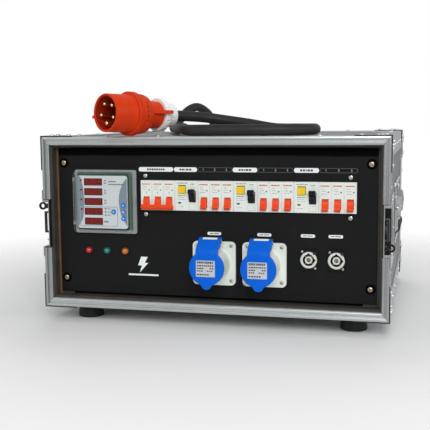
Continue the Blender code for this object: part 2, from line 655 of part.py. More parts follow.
def build_meter_case():
    meter = piece("meter_case", prism(rounded(METER_X + 1.9, METER_Z, 98.8, 96.6, 3), 'y',
                                      PANEL_Y - 4.0, ON_PANEL), WHITE_PLASTIC)
    add(meter, box(METER_X - METER_BODY, METER_X + METER_BODY, PANEL_Y - 1.0, -145.0,
                   METER_Z - METER_BODY, METER_Z + METER_BODY))
    add(meter, prism(rounded(METER_X, METER_Z, 80.4, 80.0, 4), 'y', FACE_Y, PANEL_Y - 3.5))
    wells = None
    for x, height in METER_KEYS:
        wells = prism(circle(x, PANEL_Z + height, METER_KEY_R + 0.4, 14), 'y',
                      FACE_Y - 2, FACE_Y + 5, wells)
    cut(meter, wells)


def build_meter_keys():
    profile = [(METER_KEY_R, METER_OUT - 3.5), (METER_KEY_R, METER_OUT + 1.0),
               (METER_KEY_R - 0.6, METER_OUT + 1.5)]
    for number, (x, height) in enumerate(METER_KEYS, 1):
        z = PANEL_Z + height
        piece("meter_key_%d" % number, lathe(profile, facing(x, z), 14), KEY_BLUE,
              (x, FACE_Y, z), smooth=True)


def build_meter_cover():
    """Clear tray over the face, hinged on its left edge."""
    low, high = METER_Z - COVER_HINGE_HALF, METER_Z + COVER_HINGE_HALF
    cover = piece("meter_cover", prism(rounded(COVER_X, METER_Z, 92.0, 91.0, 4), 'y',
                                       PANEL_Y - 16.0, COVER_BACK_Y),
                  CLEAR, (COVER_HINGE_X, COVER_HINGE_Y, METER_Z))
    add(cover, box(COVER_HINGE_X, METER_X - 44.5, COVER_BACK_Y - 1.5, COVER_BACK_Y, low, high))
    add(cover, prism(circle(COVER_HINGE_X, COVER_HINGE_Y, 2.0, 12), 'z', low, high))
    cut(cover, prism(rounded(COVER_X, METER_Z, 89.0, 88.0, 2.5), 'y',
                     PANEL_Y - 14.5, PANEL_Y + 10))


# ---- pilot lamps: radius, distance out from the panel ----------------------
LAMP_PROFILE = [
    (4.1, -24), (4.1, 0.3), (6.5, 0.3), (6.5, 1.7), (5.2, 2.0),
    (4.9, 4.0), (3.6, 5.8), (1.8, 6.7), (0, 7.0)]


def build_pilot_lamps():
    for name, x, color in LAMPS:
        piece("pilot_lamp_" + name, lathe(LAMP_PROFILE, facing(x, LAMP_Z), 12),
              dict(color=color, roughness=0.25), smooth=True)


# ===========================================================================
# Blue-lidded 16 A sockets
# ===========================================================================
SOCKET_FLANGE, SOCKET_R, SOCKET_OUT = 65.2, 24.0, 43.0
SOCKET_BORE_R, SOCKET_CORE_R, SOCKET_REAR_R = 21.0, 15.0, 22.0
SOCKET_TOP = SOCKET_Z + SOCKET_R
RIM_Y = PANEL_Y - SOCKET_OUT
LID_R, LID_HINGE_Y, LID_HINGE_Z = 26.5, PANEL_Y - 24.0, PANEL_Z - 21.4
CONTACT_CIRCLE = 9.0
CONTACTS = ((-90, 3.4), (30, 2.9), (150, 2.9))      # angle in degrees, hole radius

# barrel section: radius, distance out from the panel
SOCKET_PROFILE = [
    (0, SOCKET_OUT - 7), (SOCKET_CORE_R, SOCKET_OUT - 7), (SOCKET_CORE_R, 12),
    (SOCKET_BORE_R, 12), (SOCKET_BORE_R, SOCKET_OUT), (SOCKET_R, SOCKET_OUT), (SOCKET_R, 3),
    (SOCKET_REAR_R, 2), (SOCKET_REAR_R, -44), (0, -44)]
LID_PROFILE = [
    (LID_R - 0.8, SOCKET_OUT + 0.9), (LID_R, SOCKET_OUT + 1.8), (LID_R, SOCKET_OUT + 5.0),
    (LID_R - 1.2, SOCKET_OUT + 6.2), (LID_R - 4, SOCKET_OUT + 6.6)]
# side view (y, z) of the arm from the cap back over the barrel to the hinge
LID_ARM = [
    (RIM_Y - 5.4, SOCKET_TOP - 4), (RIM_Y - 1.4, SOCKET_TOP - 4),
    (RIM_Y - 1.4, SOCKET_TOP + 1.2), (LID_HINGE_Y - 8, SOCKET_TOP + 2.6),
    (LID_HINGE_Y - 3, LID_HINGE_Z - 4.4), (LID_HINGE_Y + 3, LID_HINGE_Z - 4.4),
    (LID_HINGE_Y + 5, LID_HINGE_Z - 1.5), (LID_HINGE_Y + 5, LID_HINGE_Z + 1.5),
    (LID_HINGE_Y + 2.5, LID_HINGE_Z + 4.6), (LID_HINGE_Y - 2.5, LID_HINGE_Z + 4.6),
    (LID_HINGE_Y - 10, LID_HINGE_Z - 0.5), (RIM_Y - 2.5, SOCKET_TOP + 5)]


def build_socket_base(name, x):
    base = piece(name, lathe(SOCKET_PROFILE, facing(x, SOCKET_Z), 18), GREY_PLASTIC, smooth=True)
    add(base, prism(rounded(x, SOCKET_Z, SOCKET_FLANGE, SOCKET_FLANGE, 7), 'y',
                    PANEL_Y - 5.3, ON_PANEL))
    # hinge lug on top of the barrel
    lug = capsule(LID_HINGE_Y, LID_HINGE_Z, LID_HINGE_Y, SOCKET_TOP - 3, 4.4, 6)
    add(base, prism(lug, 'x', x - 11.0, x + 11.0))
    holes = None
    for degrees, radius in CONTACTS:
        hole_x = x + CONTACT_CIRCLE * math.cos(math.radians(degrees))
        hole_z = SOCKET_Z + CONTACT_CIRCLE * math.sin(math.radians(degrees))
        holes = prism(circle(hole_x, hole_z, radius, 10), 'y', RIM_Y + 5, RIM_Y + 25, holes)
    cut(base, holes)


def build_socket_lid(name, x):
    """Round cap, arm over the barrel, ears either side of the lug, and a thumb tab."""
    lid = piece(name, lathe(LID_PROFILE, facing(x, SOCKET_Z), 20), BLUE,
                (x, LID_HINGE_Y, LID_HINGE_Z), smooth=True)
    add(lid, prism(LID_ARM, 'x', x - 16, x + 16))
    add(lid, box(x - 5.5, x + 5.5, RIM_Y - 5.6, RIM_Y - 2.2,
                 PANEL_Z - 90.5, SOCKET_Z - LID_R + 4))
    cut(lid, box(x - 11.4, x + 11.4, LID_HINGE_Y - 6.6, LID_HINGE_Y + 20,
                 SOCKET_TOP - 2, LID_HINGE_Z + 20))


# ===========================================================================
# Round locking outlets
# ===========================================================================
# radius, distance out from the panel
OUTLET_PROFILE = [
    (0, 3.2), (5.5, 3.2), (5.5, -8), (8.3, -8), (8.3, 4), (11.2, 4),
    (12.1, 3.2), (12.1, 0.3), (11.9, 0), (11.9, -26), (0, -26)]
NOTCH_HALF, NOTCH_IN, NOTCH_OUT = 1.6, 7.2, 10.4    # half width, radial reach


def build_locking_outlet(name, x):
    body = piece(name, lathe(OUTLET_PROFILE, facing(x, OUTLET_Z), 16), GREY_PLASTIC, smooth=True)
    add(body, prism(rounded(x, OUTLET_Z, 26.0, 31.0, 4), 'y', PANEL_Y - 2.3, ON_PANEL))
    # notches above and to the right of the centre
    notches = box(x - NOTCH_HALF, x + NOTCH_HALF, PANEL_Y - 6, PANEL_Y + 7,
                  OUTLET_Z + NOTCH_IN, OUTLET_Z + NOTCH_OUT)
    box(x + NOTCH_IN, x + NOTCH_OUT, PANEL_Y - 6, PANEL_Y + 7,
        OUTLET_Z - NOTCH_HALF, OUTLET_Z + NOTCH_HALF, notches)
    cut(body, notches)


# ===========================================================================
# Supply lead: recessed inlet in the rear board, plug, gland nut and cable
# ===========================================================================
INLET_FLOOR_Y = 198.0
PLUG_DIR = Vector((-0.512, -0.859, 0.033)).normalized()     # out of the open end
PLUG_AT = Vector((-124.0, -212.0, 317.4))
NUT_TAIL = 83.0                 # plug origin to the cable end of the nut

# plug and nut sections: radius, distance along the plug
PLUG_RIM = [(27.2, 45), (28, 44)]
PLUG_PROFILE = [
    (0, 8), (24.6, 8), (24.6, 44.2), (25.4, 45), *PLUG_RIM,
    (28.4, 5), (32.8, 4), (32.8, -5), (31.0, -6.5), (29.5, -21), (25.5, -27.5),
    (21.0, -30.5), (20.4, -52), (0, -52)]
NUT_PROFILE = [
    (24.3, -52.3), (25.5, -54), (25.5, -61), (24.0, -63), (19.5, -64.5),
    (18.5, -80), (16.5, -NUT_TAIL)]
PIN_RADII = (3.0, 2.5, 2.5, 2.5, 2.5)
PIN_CIRCLE, PIN_START, PIN_STEP = 15.0, 263, 72     # circle radius, then degrees
FIN_OUTLINE = [                 # plug-local x, z
    (18.5, -25), (23, -25), (29.8, -48), (31.4, -61), (27.0, -61), (26.0, -50), (18.5, -34)]

BEND_R = 40.0                   # cable's turn upward behind the case
CLIMB = [                       # over the rear edge: x, y, z
    (-116, 254.0, 303), (-126, 243.0, 322), (-141, 226, 332.5), (-155, 207, 325),
    (-164, 186, 308), (-167, 162, 296)]
DECK = CASE_Z1 + GAP + CABLE_R  # height of the cable's axis when it lies on the case
DECK_RUN = [                    # across the top and looped back: x, y, rise above DECK
    (-161, 130, 0), (-145, 85, 0), (-128, 40, 0), (-111, -10, 0), (-94, -60, 0),
    (-77, -103, 1), (-60, -144, 2), (-50, -178, 1.5), (-35, -205, 0), (-8, -216, 0),
    (35, -217, 0), (80, -216, 0), (115, -208, 0), (139, -188, 0), (146, -160, 0),
    (137, -132, 0), (112, -110, 0), (75, -98, 0.8), (32, -91, 8), (-8, -90, 14),
    (-38, -97, 18.5)]


def build_cable_inlet():
    flange, inside = INLET_SIZE + 20, INLET_SIZE - 2 * DISH_WALL
    inlet = piece("cable_inlet", prism(rounded(INLET_X, INLET_DISH_Z, flange, flange, 8), 'y',
                                       BOARD_Y1 + GAP, BOARD_Y1 + DISH_OUT), STEEL)
    add(inlet, prism(rounded(INLET_X, INLET_DISH_Z, INLET_SIZE, INLET_SIZE, INLET_CORNER),
                     'y', INLET_FLOOR_Y, BOARD_Y1 + DISH_LIP))
    cut(inlet, prism(rounded(INLET_X, INLET_DISH_Z, inside, inside, INLET_CORNER - DISH_WALL),
                     'y', INLET_FLOOR_Y + DISH_WALL, 240.0))
    # hexagon and round collar, bored for the cable
    add(inlet, prism(circle(INLET_X, INLET_Z, 14.5, 6), 'y', 192.0, 206.0))
    add(inlet, prism(circle(INLET_X, INLET_Z, 12.5, 18), 'y', 205.0, 215.0))
    cut(inlet, prism(circle(INLET_X, INLET_Z, CABLE_BORE_R, 16), 'y', 188.0, 220.0))


def plug_frame():
    """Local +Z runs out of the plug's open end, local +Y is up."""
    across = Vector((0, 0, 1)).cross(PLUG_DIR).normalized()
    upward = PLUG_DIR.cross(across)
    return Matrix([(across[i], upward[i], PLUG_DIR[i], PLUG_AT[i]) for i in range(3)]
                  + [(0, 0, 0, 1)])


def build_plug(frame):
    plug = piece("plug_body", lathe(PLUG_PROFILE, frame, 20), PLUG_RED, smooth=True)
    pins = None
    for k, radius in enumerate(PIN_RADII):
        angle = math.radians(PIN_START + PIN_STEP * k)
        pins = prism(circle(PIN_CIRCLE * math.cos(angle), PIN_CIRCLE * math.sin(angle),
                            radius, 10), 'z', 6, 42, pins, frame)
    add(plug, pins)
    keyway_rib = rect(-33.4, -26.5, -8.2, -3.8)
    add(plug, prism(keyway_rib, 'z', 2, 43.5, frame=frame))
    # release fin
    add(plug, prism(FIN_OUTLINE, 'y', 1.6, 6.4, frame=frame))


def build_gland_nut(frame):
    nut = piece("plug_gland_nut", lathe(NUT_PROFILE, frame, 16), NUT_GREY, smooth=True)
    cut(nut, prism(circle(0, 0, CABLE_BORE_R, 16), 'z', -95, -45, frame=frame))


def build_supply_cable(frame):
    # the lead hangs as far behind the case as the plug overhangs it in front
    front_most = min((frame @ Vector((x, y, along))).y
                     for radius, along in PLUG_RIM
                     for x, y in circle(0, 0, radius, 20))
    rear_y = -front_most - CABLE_R
    lead = [(INLET_X, 194.0, INLET_Z), (INLET_X, 206.0, INLET_Z)]
    for k in range(7):
        angle = math.radians(15 * k)
        lead.append((INLET_X, rear_y - BEND_R + BEND_R * math.sin(angle),
                     INLET_Z + BEND_R - BEND_R * math.cos(angle)))
    lead += [(INLET_X, rear_y, 200), (INLET_X, rear_y, 240), (INLET_X - 1, rear_y, 280)]
    lead += CLIMB
    lead += [(x, y, DECK + rise) for x, y, rise in DECK_RUN]
    points = [Vector(p) for p in lead]
    tail = PLUG_AT - PLUG_DIR * NUT_TAIL
    points += [tail - PLUG_DIR * 14.0, tail, tail + PLUG_DIR * 22.0]
    route = [Vector((p.x, min(p.y, rear_y), p.z)) for p in spline(points, 19.0)]
    piece("supply_cable", sweep(route, CABLE_R, 8), RUBBER, smooth=True)


# ===========================================================================
# Assembly; tools are numbered in the order they are made
# ===========================================================================
build_carcass()
build_rear_board()
build_edging("edging_upper", 0, CASE_MID_Z + GAP / 2)
build_edging("edging_lower", CASE_MID_Z - GAP / 2, 400)
build_feet()
for side_name, side_sign in SIDES:
    build_latch_dish("latch_dish_" + side_name, side_sign)
    build_latch_key("latch_key_" + side_name, side_sign)
for side_name, side_sign in SIDES:
    build_handle_dish("handle_dish_" + side_name, side_sign)
    build_handle("handle_" + side_name, side_sign)

build_front_panel()
build_din_rail()
build_isolator()
for group, first_slot in enumerate(GROUP_SLOTS, 1):
    build_rcd(group, first_slot)
for group, first_slot in enumerate(GROUP_SLOTS, 1):
    build_breaker_bank(group, first_slot + RCD_MODULES)
build_meter_case()
build_meter_keys()
build_meter_cover()
build_pilot_lamps()
for index, socket_x in enumerate(SOCKET_XS, 1):
    build_socket_base("socket_base_%d" % index, socket_x)
    build_socket_lid("socket_lid_%d" % index, socket_x)
for index, outlet_x in enumerate(OUTLET_XS, 1):
    build_locking_outlet("locking_outlet_%d" % index, outlet_x)

build_cable_inlet()
plug_axes = plug_frame()
build_plug(plug_axes)
build_gland_nut(plug_axes)
build_supply_cable(plug_axes)
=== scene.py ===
"""Looks for a portable power distribution box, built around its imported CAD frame.

The box is centred on x = 0, y = 0 and stands on z = 0 on four feet. Its front panel
faces -Y and left is -X. Shapes are drawn in millimetres and scaled to metres when they
become meshes. Materials, camera and lights are in metres.
"""

import itertools
import math

import bmesh
import bpy
from mathutils import Matrix, Vector


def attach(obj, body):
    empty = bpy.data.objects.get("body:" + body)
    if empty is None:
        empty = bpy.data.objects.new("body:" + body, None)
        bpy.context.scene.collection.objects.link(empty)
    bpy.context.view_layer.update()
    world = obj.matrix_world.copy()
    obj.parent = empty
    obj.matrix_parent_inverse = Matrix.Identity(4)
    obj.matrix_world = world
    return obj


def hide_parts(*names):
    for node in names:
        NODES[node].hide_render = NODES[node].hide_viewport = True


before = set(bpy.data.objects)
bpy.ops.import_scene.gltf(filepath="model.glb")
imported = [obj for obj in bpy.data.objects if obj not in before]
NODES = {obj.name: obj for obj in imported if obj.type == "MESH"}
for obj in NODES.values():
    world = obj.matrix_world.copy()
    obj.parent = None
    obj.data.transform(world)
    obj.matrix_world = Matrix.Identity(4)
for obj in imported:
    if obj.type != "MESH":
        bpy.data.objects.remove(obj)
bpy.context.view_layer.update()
scene = bpy.context.scene

# ===========================================================================
# Driving dimensions, in millimetres
# ===========================================================================
MM = 0.001                      # one millimetre in metres
GAP = 0.3                       # clearance between neighbouring parts

CASE_W, CASE_D, CASE_H = 520.0, 460.0, 260.0
FOOT_H = 24.0
HALF_W, HALF_D = CASE_W / 2, CASE_D / 2
BASE_Z, TOP_Z = FOOT_H, FOOT_H + CASE_H
MID_Z = BASE_Z + CASE_H / 2
SKIN = 1.7                      # aluminium edging thickness
BOARD_X, BOARD_Y = HALF_W - SKIN - GAP, HALF_D - SKIN - GAP    # outer board faces

PANEL_Y, PANEL_Z = -209.0, 155.0    # front panel's face and centre height
FRONT = -PANEL_Y                # the same face as a height in the facing() frame
LATCH_Z0, LATCH_Z1 = 115.0, 189.0

SIDES = (("left", -1, '-x'), ("right", 1, '+x'))


def up(height):
    """World z of a height above the panel's centre."""
    return PANEL_Z + height


# ===========================================================================
# Shader building
# ===========================================================================


class Nodes:
    """An emptied node tree of a material or world."""

    def __init__(self, owner):
        owner.use_nodes = True
        self.tree = owner.node_tree
        self.tree.nodes.clear()

    def feed(self, node, inputs):
        """Give each input a value, or a link if the value is another node's output."""
        for key, value in inputs.items():
            socket = node.inputs[key]
            if isinstance(value, bpy.types.NodeSocket):
                self.tree.links.new(value, socket)
            elif socket.type == 'RGBA':
                socket.default_value = (*value, 1.0)
            else:
                socket.default_value = value

    def add(self, kind, inputs=None, **settings):
        node = self.tree.nodes.new('ShaderNode' + kind)
        for key, value in settings.items():
            setattr(node, key, value)
        self.feed(node, inputs or {})
        return node

    def blend(self, factor, first, second):
        return self.add('MixShader', {0: factor, 1: first, 2: second}).outputs[0]


class Shader(Nodes):
    """A material with a Principled surface, textured in object coordinates."""

    def __init__(self, name):
        self.material = bpy.data.materials.new(name)
        super().__init__(self.material)
        self.output = self.add('OutputMaterial')
        self.surface = self.add('BsdfPrincipled')
        self.feed(self.output, {0: self.surface.outputs[0]})
        self.coords = self.add('TexCoord').outputs['Object']

    def finish(self, inputs):
        self.feed(self.surface, inputs)
        return self.material

    def noise(self, scale, detail=3.0, rough=0.5, stretch=None):
        coords = self.coords
        if stretch:
            mapping = self.add('Mapping', {'Vector': coords, 'Scale': stretch})
            coords = mapping.outputs['Vector']
        return self.add('TexNoise', {'Vector': coords, 'Scale': scale, 'Detail': detail,
                                     'Roughness': rough}).outputs['Fac']

    def cells(self, scale):
        return self.add('TexVoronoi', {'Vector': self.coords, 'Scale': scale}).outputs['Distance']

    def remap(self, value, to, span=(0.0, 1.0)):
        return self.add('MapRange', {'Value': value, 'From Min': span[0], 'From Max': span[1],
                                     'To Min': to[0], 'To Max': to[1]}).outputs['Result']

    def mix(self, factor, first, second, kind='RGBA'):
        return self.add('Mix', {'Factor': factor, 'A': first, 'B': second},
                        data_type=kind).outputs['Result']

    def math(self, operation, first, second=None):
        inputs = {0: first} if second is None else {0: first, 1: second}
        return self.add('Math', inputs, operation=operation).outputs[0]

    def plus(self, first, second):
        return self.math('ADD', first, second)

    def times(self, first, second):
        return self.math('MULTIPLY', first, second)

    def either(self, first, second):
        return self.math('MAXIMUM', first, second)

    def above(self, value, limit):
        return self.math('GREATER_THAN', value, limit)

    def below(self, value, limit):
        return self.math('LESS_THAN', value, limit)

    def distance(self, value, centre):
        return self.math('ABSOLUTE', self.math('SUBTRACT', value, centre))

    def axes(self, vector=None):
        parts = self.add('SeparateXYZ', {0: vector or self.coords}).outputs
        return parts['X'], parts['Y'], parts['Z']

    def normal(self):
        return self.add('NewGeometry').outputs['Normal']

    def bump(self, height, strength, distance):
        node = self.add('Bump', {'Height': height, 'Strength': strength, 'Distance': distance})
        self.feed(self.surface, {'Normal': node.outputs['Normal']})

    def edge_mask(self, radius):
        """Bright where the surface turns a corner tighter than radius."""
        rounded_normal = self.add('Bevel', {'Radius': radius}, samples=4).outputs['Normal']
        dot = self.add('VectorMath', {0: rounded_normal, 1: self.normal()},
                       operation='DOT_PRODUCT').outputs['Value']
        return self.remap(self.math('SUBTRACT', 1.0, dot), to=(0.0, 1.0), span=(0.0, 0.12))


def scaled(colour, factor):
    return tuple(min(1.0, v * factor) for v in colour)


# ---- kinds of material ----------------------------------------------------


def plastic(name, colour, rough, mottle, grain, grain_mm, coat=0.0, dirt=0.0, spec=0.5,
            wear=0.0):
    """Moulded plastic: slight mottling, fine spark-eroded grain, uneven gloss, dust."""
    shader = Shader(name)
    cloud = shader.noise(scale=22.0, detail=4.0)
    base = shader.mix(cloud, scaled(colour, 1 - mottle), scaled(colour, 1 + mottle))
    if dirt:
        smut = shader.remap(shader.noise(scale=55.0, detail=6.0, rough=0.7), to=(0.0, dirt),
                            span=(0.48, 0.75))
        base = shader.mix(smut, base, (0.16, 0.14, 0.11))
    if wear:
        patches = shader.remap(shader.noise(scale=90.0, detail=4.0), to=(0.0, wear),
                               span=(0.35, 0.7))
        worn = shader.times(shader.edge_mask(radius=0.0009), patches)
        base = shader.mix(worn, base, (0.55, 0.55, 0.55))
    shader.bump(shader.noise(scale=1000.0 / grain_mm, detail=2.0), strength=grain,
                distance=0.0002)
    gloss = shader.remap(shader.noise(scale=60.0), to=(rough - 0.07, rough + 0.09))
    return shader.finish({'Base Color': base, 'Roughness': gloss, 'Specular IOR Level': spec,
                          'Coat Weight': coat, 'Coat Roughness': 0.15})


def metal(name, colour, rough, mottle, scuff, edge, dirt, metallic=1.0, mask=None):
    """Rolled metal with scuffs, grime and bright edges, and near-black painted shade where the
    mask is 1.
    """
    shader = Shader(name)
    cloud = shader.noise(scale=14.0, detail=5.0, rough=0.6)
    base = shader.mix(cloud, scaled(colour, 1 - mottle), scaled(colour, 1 + mottle))
    fine = shader.noise(scale=900.0, rough=0.6, stretch=(1.0, 1.0, 1.0))
    scratches = shader.remap(shader.noise(scale=160.0, detail=8.0, rough=0.75), to=(0.0, 1.0),
                             span=(0.50, 0.72))
    base = shader.mix(shader.times(scratches, scuff), base, scaled(colour, 0.55))
    if dirt:
        smut = shader.remap(shader.noise(scale=38.0, detail=7.0, rough=0.75), to=(0.0, dirt),
                            span=(0.50, 0.72))
        base = shader.mix(smut, base, (0.07, 0.06, 0.055))
    if edge:
        bright = shader.times(shader.edge_mask(radius=0.0012), edge)
        base = shader.mix(bright, base, (0.9, 0.92, 0.94))
    if mask:
        # painted shade: near black and less metallic where the mask is 1
        dark = mask(shader)
        base = shader.mix(dark, base, (0.022, 0.021, 0.020))
        metallic = shader.math('SUBTRACT', metallic, shader.times(dark, 0.55))
    gloss = shader.plus(shader.remap(fine, to=(rough - 0.06, rough + 0.08)),
                        shader.times(scratches, 0.15))
    relief = shader.plus(shader.times(fine, 0.35), shader.times(scratches, -0.5))
    shader.bump(relief, strength=0.4, distance=0.00012)
    return shader.finish({'Base Color': base, 'Metallic': metallic, 'Roughness': gloss})


def rubber(name, colour, rough, dust, grain_mm):
    shader = Shader(name)
    cloud = shader.noise(scale=30.0, detail=5.0, rough=0.6)
    base = shader.mix(cloud, scaled(colour, 0.8), scaled(colour, 1.35))
    smut = shader.remap(shader.noise(scale=75.0, detail=7.0, rough=0.75), to=(0.0, dust),
                        span=(0.46, 0.80))
    base = shader.mix(smut, base, (0.075, 0.073, 0.070))
    shader.bump(shader.noise(scale=1000.0 / grain_mm, rough=0.6), strength=0.28,
                distance=0.0002)
    return shader.finish({'Base Color': base, 'Specular IOR Level': 0.30,
                          'Roughness': shader.remap(cloud, to=(rough - 0.1, rough + 0.12))})


def lens(name, colour, glow):
    """Coloured lamp lens, with painted shade where it is seen edge-on."""
    shader = Shader(name)
    facing_away = shader.add('LayerWeight', {'Blend': 0.45}).outputs['Facing']
    base = shader.mix(facing_away, colour, scaled(colour, 0.25))
    speckle = shader.remap(shader.noise(scale=300.0), to=(0.0, 0.25))
    return shader.finish({'Base Color': shader.mix(speckle, base, scaled(colour, 1.5)),
                          'Roughness': 0.12, 'Coat Weight': 0.6,
                          'Emission Color': colour, 'Emission Strength': glow})


# ---- single materials -----------------------------------------------------


def powder_material():
    """Fine-texture powder coat: pimpled film, faint dust, and a painted shadow of the top bar
    along the top edge.
    """
    shader = Shader("panel_powder_coat")
    colour = (0.0078, 0.0080, 0.0086)
    cloud = shader.noise(scale=7.0, detail=4.0, rough=0.6)
    base = shader.mix(cloud, scaled(colour, 0.86), scaled(colour, 1.18))
    dust = shader.remap(shader.noise(scale=26.0, detail=8.0, rough=0.72), to=(0.0, 0.05),
                        span=(0.52, 0.80))
    base = shader.mix(dust, base, (0.09, 0.088, 0.085))
    wobble = shader.remap(shader.noise(scale=16.0), to=(-0.0014, 0.0014))
    height = shader.plus(shader.axes()[2], wobble)
    band = (0.2535, 0.2565)     # heights over which the painted shadow of the top bar fades in
    # painted shadow: the colour darkens and the reflections dim towards the top edge
    base = shader.mix(shader.remap(height, to=(0.0, 0.85), span=band), base,
                      (0.0012, 0.0012, 0.0013))
    shader.bump(shader.cells(1400.0), strength=0.22, distance=0.00015)
    gloss = shader.remap(shader.noise(scale=19.0, detail=5.0), to=(0.50, 0.66))
    return shader.finish({'Base Color': base, 'Roughness': gloss,
                          'Specular IOR Level': shader.remap(height, to=(0.13, 0.02),
                                                             span=band)})


def laminate(shader):
    """Grey laminate with a pressed pebble pattern. Returns colour, roughness, height."""
    pebbles = shader.cells(420.0)
    cloud = shader.noise(scale=9.0, detail=5.0, rough=0.6)
    base = shader.mix(cloud, (0.205, 0.208, 0.210), (0.268, 0.271, 0.273))
    base = shader.mix(shader.remap(pebbles, to=(0.22, 0.0), span=(0.0, 0.45)), base,
                      (0.10, 0.105, 0.11))
    rubbed = shader.remap(shader.noise(scale=34.0, detail=8.0, rough=0.75), to=(0.0, 0.30),
                          span=(0.55, 0.78))
    base = shader.mix(rubbed, base, (0.34, 0.345, 0.35))
    return base, shader.remap(shader.noise(scale=50.0, detail=4.0), to=(0.48, 0.62)), pebbles


def plywood(shader, dark, light):
    """Plywood grained along y. Returns colour and grain height."""
    grain = shader.noise(scale=60.0, detail=7.0, rough=0.65, stretch=(1.0, 0.06, 1.0))
    band = shader.noise(scale=11.0, stretch=(0.25, 1.0, 3.0))
    base = shader.mix(shader.remap(grain, to=(0.0, 1.0), span=(0.3, 0.7)), dark, light)
    return shader.mix(shader.times(band, 0.35), base, scaled(dark, 0.6)), grain


def carcass_material():
    """One material for the glued carcass, told apart by where a point is: laminate on the
    outer faces, stained ply inside, raw ply on a batten at the front left."""
    shader = Shader("carcass_board")
    x, y, z = shader.axes()
    from_middle = shader.math('ABSOLUTE', x)
    # beyond these distances a point is on a side, top, bottom or rear face
    outer = shader.either(shader.above(from_middle, 0.2573),
                          shader.above(shader.distance(z, MID_Z * MM), 0.1273))
    outer = shader.either(outer, shader.above(y, 0.2275))
    board, board_rough, pebbles = laminate(shader)
    stained, _ = plywood(shader, dark=(0.031, 0.0285, 0.0235), light=(0.060, 0.055, 0.0455))
    raw, grain = plywood(shader, dark=(0.155, 0.066, 0.022), light=(0.23, 0.105, 0.038))
    # the batten lies between these limits in |x| and y, on the left only
    slab = shader.times(shader.below(from_middle, 0.2442), shader.above(from_middle, 0.2418))
    batten = shader.times(shader.below(y, -0.1845), slab)
    batten = shader.times(batten, shader.below(x, 0.0))
    batten = shader.times(batten, shader.above(y, -0.21))
    inside = shader.mix(batten, stained, raw)
    shader.bump(shader.mix(outer, grain, pebbles, kind='FLOAT'), strength=0.35,
                distance=0.0002)
    return shader.finish({'Base Color': shader.mix(outer, inside, board),
                          'Roughness': shader.mix(outer, 0.72, board_rough, kind='FLOAT')})


def clear_material():
    """Thin clear polycarbonate: mostly see-through, with a sheen, and a milky haze with a painted
    highlight along its edges.
    """
    shader = Shader("clear_cover")
    shader.tree.nodes.remove(shader.surface)
    through = shader.add('BsdfTransparent', {'Color': (0.985, 0.99, 0.985)})
    gloss = shader.add('BsdfGlossy', {'Roughness': 0.05})
    milk = shader.add('BsdfDiffuse', {'Color': (0.62, 0.66, 0.66)})
    facing_away = shader.add('LayerWeight', {'Blend': 0.16}).outputs['Facing']
    least_reflection, least_haze = 0.004, 0.004
    sheen = shader.plus(shader.times(facing_away, 0.40), least_reflection)
    pane = shader.blend(sheen, through.outputs[0], gloss.outputs[0])
    # painted highlight: milky haze along the edges, on top of a faint overall haze
    haze_and_edge_highlight = shader.plus(least_haze, shader.times(shader.edge_mask(radius=0.0016), 0.40))
    smears = shader.remap(shader.noise(scale=48.0, detail=7.0, rough=0.7), to=(0.0, 1.0),
                          span=(0.55, 0.85))
    haze_and_edge_highlight = shader.plus(haze_and_edge_highlight, shader.times(smears, 0.02))
    shader.feed(shader.output, {0: shader.blend(haze_and_edge_highlight, pane, milk.outputs[0])})
    return shader.material


# ---- masks for painted shade ----------------------------------------------


# Painted shade: faces that point to the front, darkened as the dark reflection on the brace's
# plate edges.
def front_faces_painted_shade(shader):
    y = shader.axes(shader.normal())[1]
    return shader.remap(y, to=(1.0, 0.0), span=(-0.92, -0.80))


def dish_painted_shade(shader):
    """Painted shade: everything further in than the handle dish's rim."""
    return shader.below(shader.math('ABSOLUTE', shader.axes()[0]), 0.2576)


def latch_painted_shade(shader):
    """Painted shade: inside of the latch dish, and the places beside each ring-shaped eye."""
    x, y, z = shader.axes()
    inside = shader.below(shader.math('ABSOLUTE', x), 0.2592)
    left = shader.times(shader.below(shader.distance(z, 0.179), 0.0064),
                        shader.below(x, 0.0))
    right = shader.times(shader.below(shader.distance(z, 0.129), 0.0064),
                         shader.above(x, 0.0))
    ring = shader.times(shader.either(left, right), shader.below(y, -0.2262))
    return shader.either(inside, ring)


